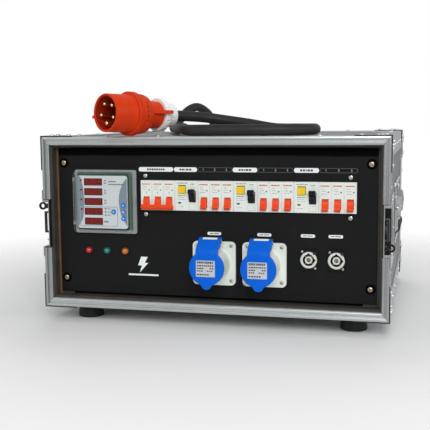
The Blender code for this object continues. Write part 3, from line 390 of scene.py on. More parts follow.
# key, name, colour, roughness, mottling, scuffing, edge brightness, dirt, others
METALS = (
    ('alu', "edging_aluminium", (0.52, 0.54, 0.55), 0.45, 0.10, 0.30, 0.30, 0.18,
     dict(metallic=0.80)),
    ('alu_front', "frame_aluminium", (0.59, 0.62, 0.615), 0.30, 0.07, 0.20, 0.30, 0.08,
     dict(metallic=0.80)),
    # front uprights: a darker copy of the frame aluminium, painted shade
    ('alu_post', "post_aluminium", (0.385, 0.41, 0.405), 0.30, 0.07, 0.20, 0.45, 0.10,
     dict(metallic=0.80)),
    # brace, latch and dish: painted shade where their masks are 1
    ('brace', "brace_steel", (0.54, 0.56, 0.57), 0.33, 0.12, 0.30, 0.2, 0.15,
     dict(mask=front_faces_painted_shade)),
    ('latch', "latch_steel", (0.62, 0.63, 0.64), 0.24, 0.12, 0.30, 0.0, 0.15,
     dict(mask=latch_painted_shade)),
    ('dish', "handle_dish_steel", (0.60, 0.62, 0.63), 0.24, 0.12, 0.30, 0.0, 0.18,
     dict(mask=dish_painted_shade)),
    # near-black steel for the latch hardware: painted shade
    ('dark_steel', "blackened_steel", (0.016, 0.0165, 0.0165), 0.38, 0.2, 0.3, 0.12, 0.0,
     dict(metallic=0.4)),
    ('lip', "sheared_edge_steel", (0.42, 0.42, 0.41), 0.34, 0.12, 0.35, 0.0, 0.25,
     dict(metallic=0.85)),
    ('zinc', "zinc_plate", (0.62, 0.64, 0.66), 0.26, 0.12, 0.30, 0.3, 0.20, {}),
    ('chrome', "chrome_plate", (0.90, 0.91, 0.93), 0.13, 0.05, 0.2, 0.2, 0.10,
     dict(metallic=0.80)),
    ('rivet', "rivet_aluminium", (0.70, 0.72, 0.73), 0.32, 0.08, 0.3, 0.0, 0.25, {}),
    ('brass', "brass_screw", (0.46, 0.38, 0.23), 0.30, 0.12, 0.45, 0.25, 0.35, {}),
    ('brass_pin', "brass_pin", (0.86, 0.70, 0.36), 0.22, 0.08, 0.2, 0.0, 0.10, {}),
    ('screw', "zinc_screw", (0.56, 0.55, 0.52), 0.28, 0.12, 0.40, 0.3, 0.25, {}),
    ('rusty', "yellow_zinc_screw", (0.42, 0.35, 0.25), 0.34, 0.20, 0.4, 0.3, 0.30, {}),
)

# key, name, colour, roughness, mottling, grain strength, grain size in mm, others
PLASTICS = (
    ('black', "black_plastic", (0.010, 0.010, 0.011), 0.34, 0.1, 0.05, 0.7, {}),
    # near black for the deep outlet groove: painted shade
    ('recess', "dark_recess", (0.004, 0.004, 0.005), 0.6, 0.1, 0.05, 0.7, dict(spec=0.2)),
    ('washer_black', "washer_black", (0.0012, 0.0012, 0.0013), 0.6, 0.1, 0.05, 0.7,
     dict(spec=0.03)),
    ('breaker', "breaker_housing", (0.87, 0.925, 0.87), 0.38, 0.02, 0.06, 0.8,
     dict(dirt=0.02, spec=0.4)),
    ('sticker', "printed_sticker", (0.60, 0.63, 0.65), 0.30, 0.03, 0.02, 0.9, {}),
    ('orange', "toggle_orange", (0.98, 0.072, 0.009), 0.34, 0.05, 0.04, 0.8,
     dict(coat=0.05, spec=0.4)),
    ('toggle_black', "toggle_black", (0.004, 0.004, 0.0045), 0.36, 0.1, 0.05, 0.7,
     dict(spec=0.28)),
    ('flange_black', "flange_black", (0.007, 0.007, 0.0075), 0.5, 0.1, 0.05, 0.7,
     dict(spec=0.14)),
    ('red_ink', "red_ink", (0.72, 0.035, 0.020), 0.45, 0.1, 0.02, 0.8, {}),
    ('grey_ink', "grey_ink", (0.16, 0.17, 0.17), 0.5, 0.1, 0.02, 0.8, {}),
    ('pale_ink', "pale_grey_ink", (0.38, 0.41, 0.40), 0.5, 0.1, 0.02, 0.8, {}),
    ('black_ink', "black_ink", (0.02, 0.02, 0.022), 0.5, 0.1, 0.02, 0.8, {}),
    ('white_ink', "white_ink", (0.94, 0.985, 1.0), 0.42, 0.02, 0.03, 0.8, {}),
    ('number_ink', "number_ink", (0.42, 0.44, 0.46), 0.5, 0.05, 0.03, 0.8, {}),
    ('outline_ink', "outline_ink", (0.085, 0.092, 0.105), 0.5, 0.05, 0.03, 0.8, {}),
    ('yellow', "button_yellow", (1.0, 0.66, 0.008), 0.32, 0.04, 0.05, 0.8, dict(coat=0.15)),
    ('green', "green_mark", (0.004, 0.155, 0.028), 0.32, 0.04, 0.03, 0.8, {}),
    ('meter', "meter_face", (0.76, 0.80, 0.82), 0.40, 0.02, 0.03, 0.6, dict(spec=0.3)),
    ('meter_grey', "meter_face_grey", (0.26, 0.31, 0.38), 0.42, 0.03, 0.03, 0.6,
     dict(spec=0.3)),
    ('meter_line', "meter_face_line", (0.30, 0.45, 0.62), 0.36, 0.03, 0.03, 0.6, {}),
    ('meter_rim', "meter_rim", (0.30, 0.315, 0.325), 0.25, 0.05, 0.04, 0.7, dict(coat=0.4)),
    ('meter_side', "meter_smoked_side", (0.032, 0.105, 0.060), 0.30, 0.2, 0.03, 0.7,
     dict(coat=0.2, spec=0.3)),
    ('display', "display_window", (0.14, 0.003, 0.001), 0.25, 0.05, 0.02, 0.7,
     dict(spec=0.12)),
    ('segment', "display_segment", (0.48, 0.025, 0.014), 0.35, 0.05, 0.02, 0.7,
     dict(spec=0.15)),
    ('led', "led_dark_red", (0.20, 0.010, 0.008), 0.3, 0.05, 0.02, 0.7, dict(spec=0.2)),
    ('key', "key_blue", (0.006, 0.25, 0.82), 0.45, 0.05, 0.05, 0.6, dict(spec=0.2)),
    ('socket', "socket_grey", (0.86, 0.905, 0.84), 0.36, 0.03, 0.06, 0.9,
     dict(dirt=0.04, spec=0.4)),
    ('blue', "lid_blue", (0.0, 0.128, 0.72), 0.42, 0.05, 0.06, 0.9,
     dict(wear=0.12, spec=0.15)),
    ('outlet', "outlet_grey", (0.74, 0.77, 0.72), 0.34, 0.03, 0.06, 0.8, {}),
    ('beige', "contact_beige", (0.24, 0.21, 0.15), 0.45, 0.15, 0.05, 0.8, {}),
    ('plug', "plug_red", (0.68, 0.040, 0.001), 0.42, 0.07, 0.08, 0.9,
     dict(dirt=0.05, wear=0.06, spec=0.18)),
    # darker copy of the plug red with grime: painted shade inside the plug's mouth; the tick
    # marks use it too
    ('plug_in', "plug_red_inner", (0.34, 0.014, 0.001), 0.48, 0.08, 0.08, 0.9,
     dict(dirt=0.15, spec=0.2)),
    ('nut', "nut_white", (0.93, 0.955, 0.925), 0.36, 0.03, 0.07, 0.9, dict(dirt=0.03)),
)

# key, name, colour, roughness, dust, grain size in mm
RUBBERS = (
    ('foot', "foot_rubber", (0.0085, 0.0085, 0.009), 0.60, 0.10, 0.9),
    ('cable', "cable_sheath", (0.016, 0.016, 0.0165), 0.50, 0.16, 0.7),
    ('grip', "grip_rubber", (0.010, 0.010, 0.011), 0.5, 0.12, 0.9),
)

# key, name, colour, glow
LENSES = (
    ('lamp_red', "lens_red", (0.55, 0.008, 0.006), 0.05),
    ('lamp_green', "lens_green", (0.003, 0.20, 0.165), 0.03),
    ('lamp_amber', "lens_amber", (0.62, 0.16, 0.006), 0.05),
)

MAT = {'carcass': carcass_material(), 'powder': powder_material(), 'clear': clear_material()}
for maker, rows in ((metal, METALS), (plastic, PLASTICS)):
    for key, *row, others in rows:
        MAT[key] = maker(*row, **others)
for maker, rows in ((rubber, RUBBERS), (lens, LENSES)):
    for key, *row in rows:
        MAT[key] = maker(*row)

# ===========================================================================
# Outlines: lists of (x, y) points
# ===========================================================================


def rect(x0, x1, y0, y1):
    return [(x0, y0), (x1, y0), (x1, y1), (x0, y1)]


def rounded(cx, cy, width, height, radius, seg):
    points = []
    for sx, sy, start in ((1, 1, 0), (-1, 1, 90), (-1, -1, 180), (1, -1, 270)):
        for k in range(seg + 1):
            angle = math.radians(start + 90.0 * k / seg)
            points.append((cx + sx * (width / 2 - radius) + radius * math.cos(angle),
                           cy + sy * (height / 2 - radius) + radius * math.sin(angle)))
    return points


def circle(cx, cy, radius, seg):
    return [(cx + radius * math.cos(2 * math.pi * k / seg),
             cy + radius * math.sin(2 * math.pi * k / seg)) for k in range(seg)]


def capsule(ax, ay, bx, by, radius, seg):
    heading = math.atan2(by - ay, bx - ax)
    points = []
    for cx, cy, start in ((bx, by, heading - math.pi / 2), (ax, ay, heading + math.pi / 2)):
        for k in range(seg + 1):
            angle = start + math.pi * k / seg
            points.append((cx + radius * math.cos(angle), cy + radius * math.sin(angle)))
    return points


def ribbon(points, width):
    """Outline of a polyline drawn with a given width."""
    path = [Vector(p) for p in points]
    steps = [(b - a).normalized() for a, b in zip(path, path[1:])]
    left, right = [], []
    for i, point in enumerate(path):
        before = steps[max(i - 1, 0)]
        after = steps[min(i, len(steps) - 1)]
        tangent = (before + after).normalized()
        normal = Vector((-tangent.y, tangent.x))
        reach = width / 2 / max(0.5, normal.dot(Vector((-before.y, before.x))))
        left.append(point + normal * reach)
        right.append(point - normal * reach)
    return [tuple(v) for v in left + right[::-1]]


# ===========================================================================
# Frames: matrices that lay a shape's local axes in the world
# ===========================================================================
IDENTITY = Matrix.Identity(4)
WAYS = {'-y': (0, -1, 0), '+y': (0, 1, 0), '-x': (-1, 0, 0), '+x': (1, 0, 0),
        '+z': (0, 0, 1), '-z': (0, 0, -1)}


def facing(x, z):
    """Local +Z points out of the panel (world -Y), measured from y = 0."""
    return Matrix(((1, 0, 0, x), (0, 0, -1, 0), (0, 1, 0, z), (0, 0, 0, 1)))


def rearward(x, y, z):
    """Local +Z points to the rear (world +Y)."""
    return Matrix(((1, 0, 0, x), (0, 0, 1, y), (0, -1, 0, z), (0, 0, 0, 1)))


def sideways(x, y, z, side=1):
    """Local +Z points to the right, or to the left if side is -1."""
    return Matrix(((0, 0, side, x), (1, 0, 0, y), (0, side, 0, z), (0, 0, 0, 1)))


def aim(x, y, z, way):
    """Local +Z along one of the six world directions, at a point in millimetres."""
    turned = Vector(WAYS[way]).to_track_quat('Z', 'Y').to_matrix().to_4x4()
    return Matrix.Translation((x, y, z)) @ turned


def turn(degrees):
    return Matrix.Rotation(math.radians(degrees), 4, 'Z')


# ===========================================================================
# Solids: bmeshes in millimetres
# ===========================================================================


def place(axis, point, t):
    if axis == 'x':
        return (t, point[0], point[1])
    if axis == 'y':
        return (point[0], t, point[1])
    return (point[0], point[1], t)


def wall(shape, ring, other, flip=False):
    """Faces between two closed rings of vertices."""
    count = len(ring)
    for i in range(count):
        j = (i + 1) % count
        if flip:
            shape.faces.new((ring[i], ring[j], other[j], other[i]))
        else:
            shape.faces.new((ring[j], ring[i], other[i], other[j]))


def loft(first, last, shape=None):
    """Closed solid between two matching outlines of 3-D points."""
    shape = shape or bmesh.new()
    start = [shape.verts.new(p) for p in first]
    end = [shape.verts.new(p) for p in last]
    shape.faces.new(start)
    shape.faces.new(end[::-1])
    wall(shape, start, end)
    return shape


def prism(points, axis, start, end, shape=None, matrix=IDENTITY):
    return loft([matrix @ Vector(place(axis, p, start)) for p in points],
                [matrix @ Vector(place(axis, p, end)) for p in points], shape)


def ring_prism(outer, inner, axis, start, end):
    shape = bmesh.new()
    loops = [[shape.verts.new(place(axis, p, t)) for p in points]
             for points, t in ((outer, start), (inner, start), (inner, end), (outer, end))]
    for k in range(4):
        wall(shape, loops[k], loops[(k + 1) % 4], flip=True)
    return shape


def box(x0, x1, y0, y1, z0, z1):
    return prism(rect(x0, x1, y0, y1), 'z', z0, z1)


def level_ring(shape, radius, height, matrix, seg):
    return [shape.verts.new(matrix @ Vector((radius * math.cos(2 * math.pi * k / seg),
                                             radius * math.sin(2 * math.pi * k / seg),
                                             height))) for k in range(seg)]


def lathe(profile, matrix, seg):
    """Revolve (radius, height) pairs about local Z; both ends are capped."""
    shape = bmesh.new()
    rings = []
    for radius, height in profile:
        if radius < 1e-6:
            rings.append([shape.verts.new(matrix @ Vector((0, 0, height)))])
        else:
            rings.append(level_ring(shape, radius, height, matrix, seg))
    for ring, other in zip(rings, rings[1:]):
        if len(ring) > 1 and len(other) > 1:
            wall(shape, ring, other)
            continue
        for k in range(seg):
            j = (k + 1) % seg
            if len(ring) == 1:
                shape.faces.new((ring[0], other[k], other[j]))
            else:
                shape.faces.new((ring[j], ring[k], other[0]))
    for ring in (rings[0], rings[-1]):
        if len(ring) > 1:
            shape.faces.new(ring)
    return shape


def hoop(profile, matrix, seg):
    """Revolve a closed outline about local Z, with nothing across the middle."""
    shape = bmesh.new()
    rings = [level_ring(shape, radius, height, matrix, seg) for radius, height in profile]
    for i, ring in enumerate(rings):
        wall(shape, ring, rings[(i + 1) % len(rings)])
    return shape


def sweep(path, radius, seg):
    """Round bar along a path of points."""
    shape = bmesh.new()
    last = len(path) - 1
    tangents = [(path[min(i + 1, last)] - path[max(i - 1, 0)]).normalized()
                for i in range(last + 1)]
    across = tangents[0].orthogonal().normalized()
    rings = []
    for point, tangent in zip(path, tangents):
        across = (across - tangent * across.dot(tangent)).normalized()
        over = tangent.cross(across)
        rings.append([shape.verts.new(point
                                      + across * (radius * math.cos(2 * math.pi * k / seg))
                                      + over * (radius * math.sin(2 * math.pi * k / seg)))
                      for k in range(seg)])
    for ring, other in zip(rings, rings[1:]):
        wall(shape, ring, other, flip=True)
    shape.faces.new(rings[0])
    shape.faces.new(rings[-1])
    return shape


def spline(points, step):
    """Centripetal Catmull-Rom through points, sampled about every step mm."""
    def between(a, b, ta, tb, t):
        return (tb - t) / (tb - ta) * a + (t - ta) / (tb - ta) * b

    padded = [2 * points[0] - points[1]] + list(points) + [2 * points[-1] - points[-2]]
    path = []
    for i in range(1, len(padded) - 2):
        p0, p1, p2, p3 = padded[i - 1:i + 3]
        t0 = 0.0
        t1 = t0 + (p1 - p0).length ** 0.5
        t2 = t1 + (p2 - p1).length ** 0.5
        t3 = t2 + (p3 - p2).length ** 0.5
        count = max(1, round((p2 - p1).length / step))
        for k in range(count):
            t = t1 + (t2 - t1) * k / count
            a1 = between(p0, p1, t0, t1, t)
            a2 = between(p1, p2, t1, t2, t)
            a3 = between(p2, p3, t2, t3, t)
            path.append(between(between(a1, a2, t0, t2, t), between(a2, a3, t1, t3, t),
                                t1, t2, t))
    path.append(padded[-2])
    return path


def solid(shape):
    """A throwaway object from a closed bmesh."""
    bmesh.ops.recalc_face_normals(shape, faces=shape.faces[:])
    mesh = bpy.data.meshes.new("throwaway")
    shape.to_mesh(mesh)
    shape.free()
    obj = bpy.data.objects.new("throwaway", mesh)
    scene.collection.objects.link(obj)
    return obj


def carve(base, add=(), cut=()):
    """Exact union with the solids in add, then difference with those in cut."""
    target = solid(base)
    tools = []
    for operation, shapes in (('UNION', add), ('DIFFERENCE', cut)):
        for shape in shapes:
            tools.append(solid(shape))
            step = target.modifiers.new("step", 'BOOLEAN')
            step.operation = operation
            step.solver = 'EXACT'
            step.object = tools[-1]
    depsgraph = bpy.context.evaluated_depsgraph_get()
    depsgraph.update()
    evaluated = target.evaluated_get(depsgraph)
    result = bmesh.new()
    result.from_mesh(evaluated.to_mesh())
    evaluated.to_mesh_clear()
    for obj in [target] + tools:
        mesh = obj.data
        bpy.data.objects.remove(obj)
        bpy.data.meshes.remove(mesh)
    return result


# ===========================================================================
# Shown pieces
# ===========================================================================


def mesh_of(shape, name):
    bmesh.ops.recalc_face_normals(shape, faces=shape.faces[:])
    mesh = bpy.data.meshes.new(name)
    shape.to_mesh(mesh)
    shape.free()
    mesh.transform(Matrix.Scale(MM, 4))
    return mesh


def round_edges(obj, width, seg, angle=35.0):
    bevel = obj.modifiers.new('Edge', 'BEVEL')
    bevel.width = width * MM
    bevel.segments = seg
    bevel.limit_method = 'ANGLE'
    bevel.angle_limit = math.radians(angle)
    bevel.harden_normals = True


def shown(name, mesh, material, body='case', bevel=0.0, seg=2, smooth=False, replaces=(),
          slot=None, angle=35.0, pose=None):
    """An object that rides on a CAD body. The bevel and the pose are in millimetres."""
    if smooth or bevel:
        mesh.shade_smooth()
    if smooth and not bevel:
        mesh.set_sharp_from_angle(angle=math.radians(angle))
    obj = bpy.data.objects.new(name, mesh)
    if pose is not None:
        world_pose = pose.copy()
        world_pose.translation = pose.translation * MM
        obj.matrix_world = world_pose
    scene.collection.objects.link(obj)
    if not mesh.materials:
        mesh.materials.append(MAT[material])
    if bevel:
        round_edges(obj, bevel, seg, angle)
    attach(obj, body)
    if replaces:
        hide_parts(*replaces)


def piece(name, shape, material, body='case', **options):
    shown(name, mesh_of(shape, name), material, body, **options)


def cad(node, material, bevel=0.0, seg=2):
    """Finish a CAD node that is shown as it is."""
    obj = NODES[node]
    obj.data.materials.clear()
    obj.data.materials.append(MAT[material])
    if bevel:
        weld = obj.modifiers.new('Weld', 'WELD')
        weld.merge_threshold = 1e-5
        round_edges(obj, bevel, seg)


def print_line(name, x0, x1, z, height, words, material, depth, body='case'):
    """A line of print too small to read, as plain bars of uneven length."""
    space = 0.35
    total = sum(words) + space * (len(words) - 1)
    shape = None
    x = x0
    for word in words:
        bar = rect(x, x + (x1 - x0) * word / total, z - height / 2, z + height / 2)
        shape = prism(bar, 'y', *depth, shape)
        x += (x1 - x0) * (word + space) / total
    piece(name, shape, material, body)


def print_lines(prefix, number, x, rows):
    """Print on the breaker row; each row is tag, x0, x1, height, size, words, ink."""
    for tag, x0, x1, height, size, words, ink in rows:
        print_line(f"{prefix}_{tag}_{number}", x + x0, x + x1, up(height), size, words, ink,
                   ROW_INK)


# ---- screws and rivets ----------------------------------------------------


def pan_head(name, radius, height):
    """Pan-head screw with a cross recess, standing on z = 0."""
    profile = [(0, 0), (radius, 0), (radius, height * 0.45), (radius * 0.93, height * 0.72),
               (radius * 0.75, height * 0.9), (radius * 0.45, height), (0, height * 1.03)]
    blades = []
    # the two recess blades overlap, so they are taken away one at a time
    for angle in (0, 90):
        rows = [[turn(angle) @ Vector((sx * radius * 0.60 * taper, sy * radius * 0.17 * taper,
                                       z))
                 for sx, sy in ((-1, -1), (1, -1), (1, 1), (-1, 1))]
                for z, taper in ((height + 1, 1.2), (height * 0.2, 0.5))]
        blades.append(loft(*rows))
    return mesh_of(carve(lathe(profile, IDENTITY, 24), cut=blades), name)


def dome_rivet(name, radius, height):
    """Rivet head with a small dimple, standing on z = 0."""
    # shares of the radius and of the height
    shares = [(0, 0), (1, 0), (1, 0.16), (0.94, 0.42), (0.80, 0.72), (0.52, 0.94), (0.26, 1),
              (0.20, 0.84), (0, 0.84)]
    profile = [(radius * across, height * rise) for across, rise in shares]
    return mesh_of(lathe(profile, IDENTITY, 20), name)


RIVET = dome_rivet("rivet_mesh", 3.6, 1.9)
SMALL_RIVET = dome_rivet("small_rivet_mesh", 2.4, 0.9)
RACK_SCREW = pan_head("rack_screw_mesh", 3.9, 2.3)
SMALL_SCREW = pan_head("small_screw_mesh", 2.3, 1.3)
MID_SCREW = pan_head("mid_screw_mesh", 3.1, 1.7)
RIVET.materials.append(MAT['rivet'])
SMALL_RIVET.materials.append(MAT['rivet'])
RACK_SCREW.materials.append(MAT['brass'])
RIVET_NUMBERS = itertools.count(1)


def fixing(name, mesh, pose, material=None, body='case'):
    """A screw or rivet; one with its own material gets its own copy of the mesh."""
    if material:
        mesh = mesh.copy()
        mesh.materials.clear()
        mesh.materials.append(MAT[material])
    shown(name, mesh, material, body, smooth=True, pose=pose)


def rivet(x, y, z, way, mesh=RIVET):
    number = next(RIVET_NUMBERS)
    fixing(f"rivet_{number:03d}", mesh, aim(x, y, z, way) @ turn(37 * number))


# ===========================================================================
# Case edging
# ===========================================================================
cad("carcass", 'carcass')
cad("rear_board", 'carcass', 0.3)

EDGE_LEG = 30.0                 # width of the edging's legs on each face
NARROW = 11.2 / 13.0            # front: how much less the uprights show than the rails
HAIR = 0.34                     # shortens each mitred end

# Sections: distance in from the side, top or bottom face, distance in from the end face.
FRONT_PROFILE = [(0, EDGE_LEG), (0, 1.2), (0.4, 0.4), (1.2, 0), (3.6, 0), (4.3, 0.5),
                 (4.6, 3.4), (7.4, 3.4), (7.7, 0.9), (8.4, 0.4), (10.8, 0.4), (11.6, 0.9),
                 (13, 2.6), (13, 8.2), (SKIN, 8.2), (SKIN, EDGE_LEG)]
L_PROFILE = [(0, EDGE_LEG), (0, 1.5), (0.44, 0.44), (1.5, 0), (EDGE_LEG, 0),
             (EDGE_LEG, SKIN), (SKIN, SKIN), (SKIN, EDGE_LEG)]


def edge_bar(name, profile, end, part, material, narrow=1.0, low=None, high=None,
             replaces=()):
    """Bar round the front (end -1) or rear (end 1) opening, mitred unless cut at low or
    high."""
    def section(side, inset, z_at):
        return [(side * (HALF_W - u * narrow - inset), end * (HALF_D - v), z_at(u))
                for u, v in profile]

    if part in ('top', 'bottom'):
        def rail_z(u):
            return TOP_Z - u if part == 'top' else BASE_Z + u
        sections = section(-1, HAIR, rail_z), section(1, HAIR, rail_z)
    else:
        side = -1 if part == 'left' else 1
        sections = (section(side, 0, lambda u: BASE_Z + u + HAIR if low is None else low),
                    section(side, 0, lambda u: TOP_Z - u - HAIR if high is None else high))
    piece(name, loft(*sections), material, bevel=0.18, replaces=replaces, slot="edging")


for part, node in (('top', "edging_upper"), ('bottom', "edging_lower")):
    edge_bar("front_bar_" + part, FRONT_PROFILE, -1, part, 'alu_front', NARROW,
             replaces=(node,))
for part in ('left', 'right'):
    # the uprights take the darker copy of the frame aluminium, painted shade
    edge_bar(f"front_bar_{part}_upper", FRONT_PROFILE, -1, part, 'alu_post', NARROW,
             low=LATCH_Z1 + GAP)
    edge_bar(f"front_bar_{part}_lower", FRONT_PROFILE, -1, part, 'alu_post', NARROW,
             high=LATCH_Z0 - GAP)
    edge_bar(f"rear_bar_{part}_upper", L_PROFILE, 1, part, 'alu', low=MID_Z + GAP / 2)
    edge_bar(f"rear_bar_{part}_lower", L_PROFILE, 1, part, 'alu', high=MID_Z - GAP / 2)
for part in ('top', 'bottom'):
    edge_bar("rear_bar_" + part, L_PROFILE, 1, part, 'alu')

LONG_EDGE_Y = HALF_D - EDGE_LEG - GAP / 2
for tag, side, _ in SIDES:
    for level, face_z, inward in (("top", TOP_Z, -1), ("bottom", BASE_Z, 1)):
        ends = [[(side * (HALF_W - u), y, face_z + inward * v) for u, v in L_PROFILE]
                for y in (-LONG_EDGE_Y, LONG_EDGE_Y)]
        piece(f"long_edge_{level}_{tag}", loft(*ends), 'alu', bevel=0.18, slot="edging")

# ===========================================================================
# Riveted corner braces, folded over the long edges
# ===========================================================================
BRACE, BRACE_LEG, BRACE_T = 52.0, 27.0, 1.5     # overall size, leg width, thickness
# one leaf: distance from the folded edge, distance from the end of the case
BRACE_LEAF = [(0, 0), (BRACE, 0), (BRACE, BRACE_LEG - 7), (BRACE - 7, BRACE_LEG),
              (BRACE_LEG + 5, BRACE_LEG), (BRACE_LEG, BRACE_LEG + 5), (BRACE_LEG, BRACE - 7),
              (BRACE_LEG - 7, BRACE), (0, BRACE)]
BRACE_RIVETS = ((14, 9.5), (42, 9.5), (9.5, 42), (19.5, 21))


def corner_brace(name, side, out, rise, face_z, end):
    end_y = end * (HALF_D - 0.5)
    outer_x, outer_z = side * (HALF_W + BRACE_T), face_z + rise * BRACE_T
    flat = prism([(side * (HALF_W + BRACE_T - p), end_y - end * q) for p, q in BRACE_LEAF],
                 'z', *sorted((face_z, outer_z)))
    upright = prism([(end_y - end * q, face_z + rise * (BRACE_T - p)) for p, q in BRACE_LEAF],
                    'x', *sorted((side * HALF_W, outer_x)))
    piece(name, carve(flat, add=[upright]), 'brace', bevel=0.3)
    for p, q in BRACE_RIVETS:
        y = end_y - end * q
        rivet(side * (HALF_W - p + 0.9), y, outer_z, '+z' if rise > 0 else '-z')
        rivet(outer_x, y, face_z - rise * (p - 0.9), out)


for tag, side, out in SIDES:
    for level, rise, face_z in (("top", 1, TOP_Z), ("bottom", -1, BASE_Z)):
        for end_name, end in (("front", -1), ("rear", 1)):
            corner_brace(f"corner_brace_{end_name}_{level}_{tag}", side, out, rise, face_z, end)

# ===========================================================================
# Rivets along the edging
# ===========================================================================
RIVET_LINE = EDGE_LEG / 2       # distance of the rivet rows from the case's edges
LONG_RIVETS = (-120, -40, 40, 120)
for _, side, out in SIDES:
    for z in (BASE_Z + RIVET_LINE, TOP_Z - RIVET_LINE):
        for y in LONG_RIVETS:
            rivet(side * HALF_W, y, z, out)
    for z in (70, 100, 210, 238):
        rivet(side * HALF_W, HALF_D - RIVET_LINE, z, out)
    for z in (92, 212):
        rivet(side * HALF_W, -HALF_D + 20, z, out, SMALL_RIVET)
for x in (-160, -80, 0, 80, 160):
    rivet(x, -HALF_D + 18, TOP_Z, '+z')
    rivet(x, HALF_D - RIVET_LINE, TOP_Z, '+z')
    rivet(x, HALF_D, TOP_Z - RIVET_LINE, '+y')
    rivet(x, HALF_D, BASE_Z + RIVET_LINE, '+y')
for side in (-1, 1):
    for y in LONG_RIVETS:
        rivet(side * (HALF_W - RIVET_LINE), y, TOP_Z, '+z')
    for z in (80, 120, 190, 228):
        rivet(side * (HALF_W - RIVET_LINE), HALF_D, z, '+y')

# ===========================================================================
# Feet: flared rubber with a recessed screw
# ===========================================================================
FOOT_X, FOOT_Y = 207.0, 178.0
FOOT_TOP = BASE_Z + 0.4
# radius, height
FOOT_PROFILE = [(0, 5.0), (5.2, 5.0), (5.6, 0.8), (16.6, 0.8), (17.2, 0.0), (18.2, 0.0),
                (19.3, 0.5), (20.0, 1.8), (20.0, 3.2), (19.4, 9.0), (18.6, 15.0),
                (18.1, 21.0), (18.0, FOOT_TOP), (0, FOOT_TOP)]
FOOT_WASHER = [(3.2, 4.4), (5.0, 4.4), (5.0, 5.1), (3.2, 5.1)]


def foot(tag, x, y):
    middle = Matrix.Translation((x, y, 0))
    piece("foot_" + tag, lathe(FOOT_PROFILE, middle, 40), 'foot', smooth=True,
          replaces=("foot_" + tag,), slot="foot_rubber")
    fixing("foot_screw_" + tag, MID_SCREW, aim(x, y, 4.7, '-z'), 'screw')
    piece("foot_washer_" + tag, hoop(FOOT_WASHER, middle, 24), 'zinc', smooth=True)


for side_name, side, _ in SIDES:
    for end_name, end in (("front", -1), ("rear", 1)):
        foot(f"{end_name}_{side_name}", side * FOOT_X, end * FOOT_Y)

# ===========================================================================
# Latches. Distances from the case's middle are multiplied by side, -1 or 1.
# ===========================================================================
LATCH_FLOOR = 250.6
EYE_X, EYE_OFFSET = 261.0, 25.0
LOOP_X, LOOP_Z0, LOOP_Z1 = 258.6, up(-17.0), up(15.5)
WING_Y, WING_Z = -207.0, up(-3)
# radius, distance in front of y = 0
EYE_PROFILE = [(3.1, 229.3), (3.6, 229.75), (5.5, 229.75), (5.95, 229.3), (5.95, 226.8),
               (5.5, 226.4), (3.6, 226.4), (3.1, 226.8)]
# radius, distance from x = 0
KEY_DISC = [(0, 252.1), (11, 252.1), (11, 253.4), (10.5, 253.8), (4.2, 253.8), (3.6, 254.6),
            (0, 254.6)]


def latch_lip(tag, side):
    """Bright sheared edge at the dish's open front. The left one has no lower leg."""
    inner, lip_x, outer, thick = 250.7, 252.0, 261.0, 4.4
    low, high = LATCH_Z0 + 0.4, LATCH_Z1 - 0.4
    leg = [(lip_x, low)]
    if side > 0:
        leg = [(outer, low), (outer, LATCH_Z0 + thick), (lip_x, LATCH_Z0 + thick)]
    outline = [(inner, low)] + leg + [(lip_x, LATCH_Z1 - thick), (outer, LATCH_Z1 - thick),
                                      (outer, high), (inner, high)]
    piece("latch_lip_" + tag, prism([(side * x, z) for x, z in outline], 'y', -229.85, -228.9),
          'lip', bevel=0.2)


def latch_eye(tag, side):
    """Ring with its neck, high on the left and low on the right, both near black as painted
    shade.
    """
    eye_z = PANEL_Z - 1 - side * EYE_OFFSET
    piece("latch_eye_" + tag, hoop(EYE_PROFILE, facing(side * EYE_X, eye_z), 40),
          'toggle_black', smooth=True)
    neck = box(*sorted((side * (LATCH_FLOOR + 0.4), side * 256.2)), -229.6, -226.4,
               eye_z - 3.7, eye_z + 3.7)
    piece("latch_eye_neck_" + tag, neck, 'dark_steel', bevel=0.4)


def latch_key(tag, side):
    """Disc with a folding wing, a flat strip held off the disc by two short legs; all near black
    as painted shade.
    """
    body = "latch_key_" + tag
    piece("latch_key_disc_" + tag, lathe(KEY_DISC, sideways(0, WING_Y, WING_Z, side), 36),
          'dark_steel', body, smooth=True, replaces=(body,), slot="zinc_steel")
    wing = prism(rounded(WING_Y, WING_Z, 4.4, 32.0, 2.1, 5), 'x',
                 *sorted((side * 256.4, side * 258.6)))
    piece("latch_wing_" + tag, wing, 'dark_steel', body, bevel=0.5, seg=3)
    for leg, rise in (("a", 8.316), ("b", -8.316)):
        piece(f"latch_wing_leg_{leg}_{tag}",
              prism(rounded(WING_Y, WING_Z + rise, 4.4, 4.2, 0.8, 3), 'x',
                    *sorted((side * 253.2, side * 256.8))), 'dark_steel', body, bevel=0.3)


def latch(tag, side, out):
    cad("latch_dish_" + tag, 'latch', 0.5, 3)
    for y, z in ((-222.5, 108.0), (-222.5, 196.0), (-177.0, 108.0), (-177.0, 196.0),
                 (-177.0, 152.0)):
        rivet(side * (HALF_W + 1.8), y, z, out, SMALL_RIVET)
    latch_lip(tag, side)
    latch_eye(tag, side)
    # near-black loop: painted shade
    loop = ring_prism(rect(side * (LATCH_FLOOR + 1.0), side * (LOOP_X + 0.1),
                           LOOP_Z0 - 0.1, LOOP_Z1 + 0.1),
                      rect(side * (LATCH_FLOOR + 1.2), side * (LOOP_X - 2.8),
                           LOOP_Z0 + 2.6, LOOP_Z1 - 2.6), 'y', -228.7, -224.5)
    piece("latch_loop_" + tag, loop, 'dark_steel', bevel=0.4, seg=3)
    piece("latch_stud_" + tag,
          prism(circle(side * 253.2, up(-27.5), 1.5, 16), 'y', -229.6, -226.0), 'zinc',
          bevel=0.3)
    latch_key(tag, side)


for side_row in SIDES:
    latch(*side_row)

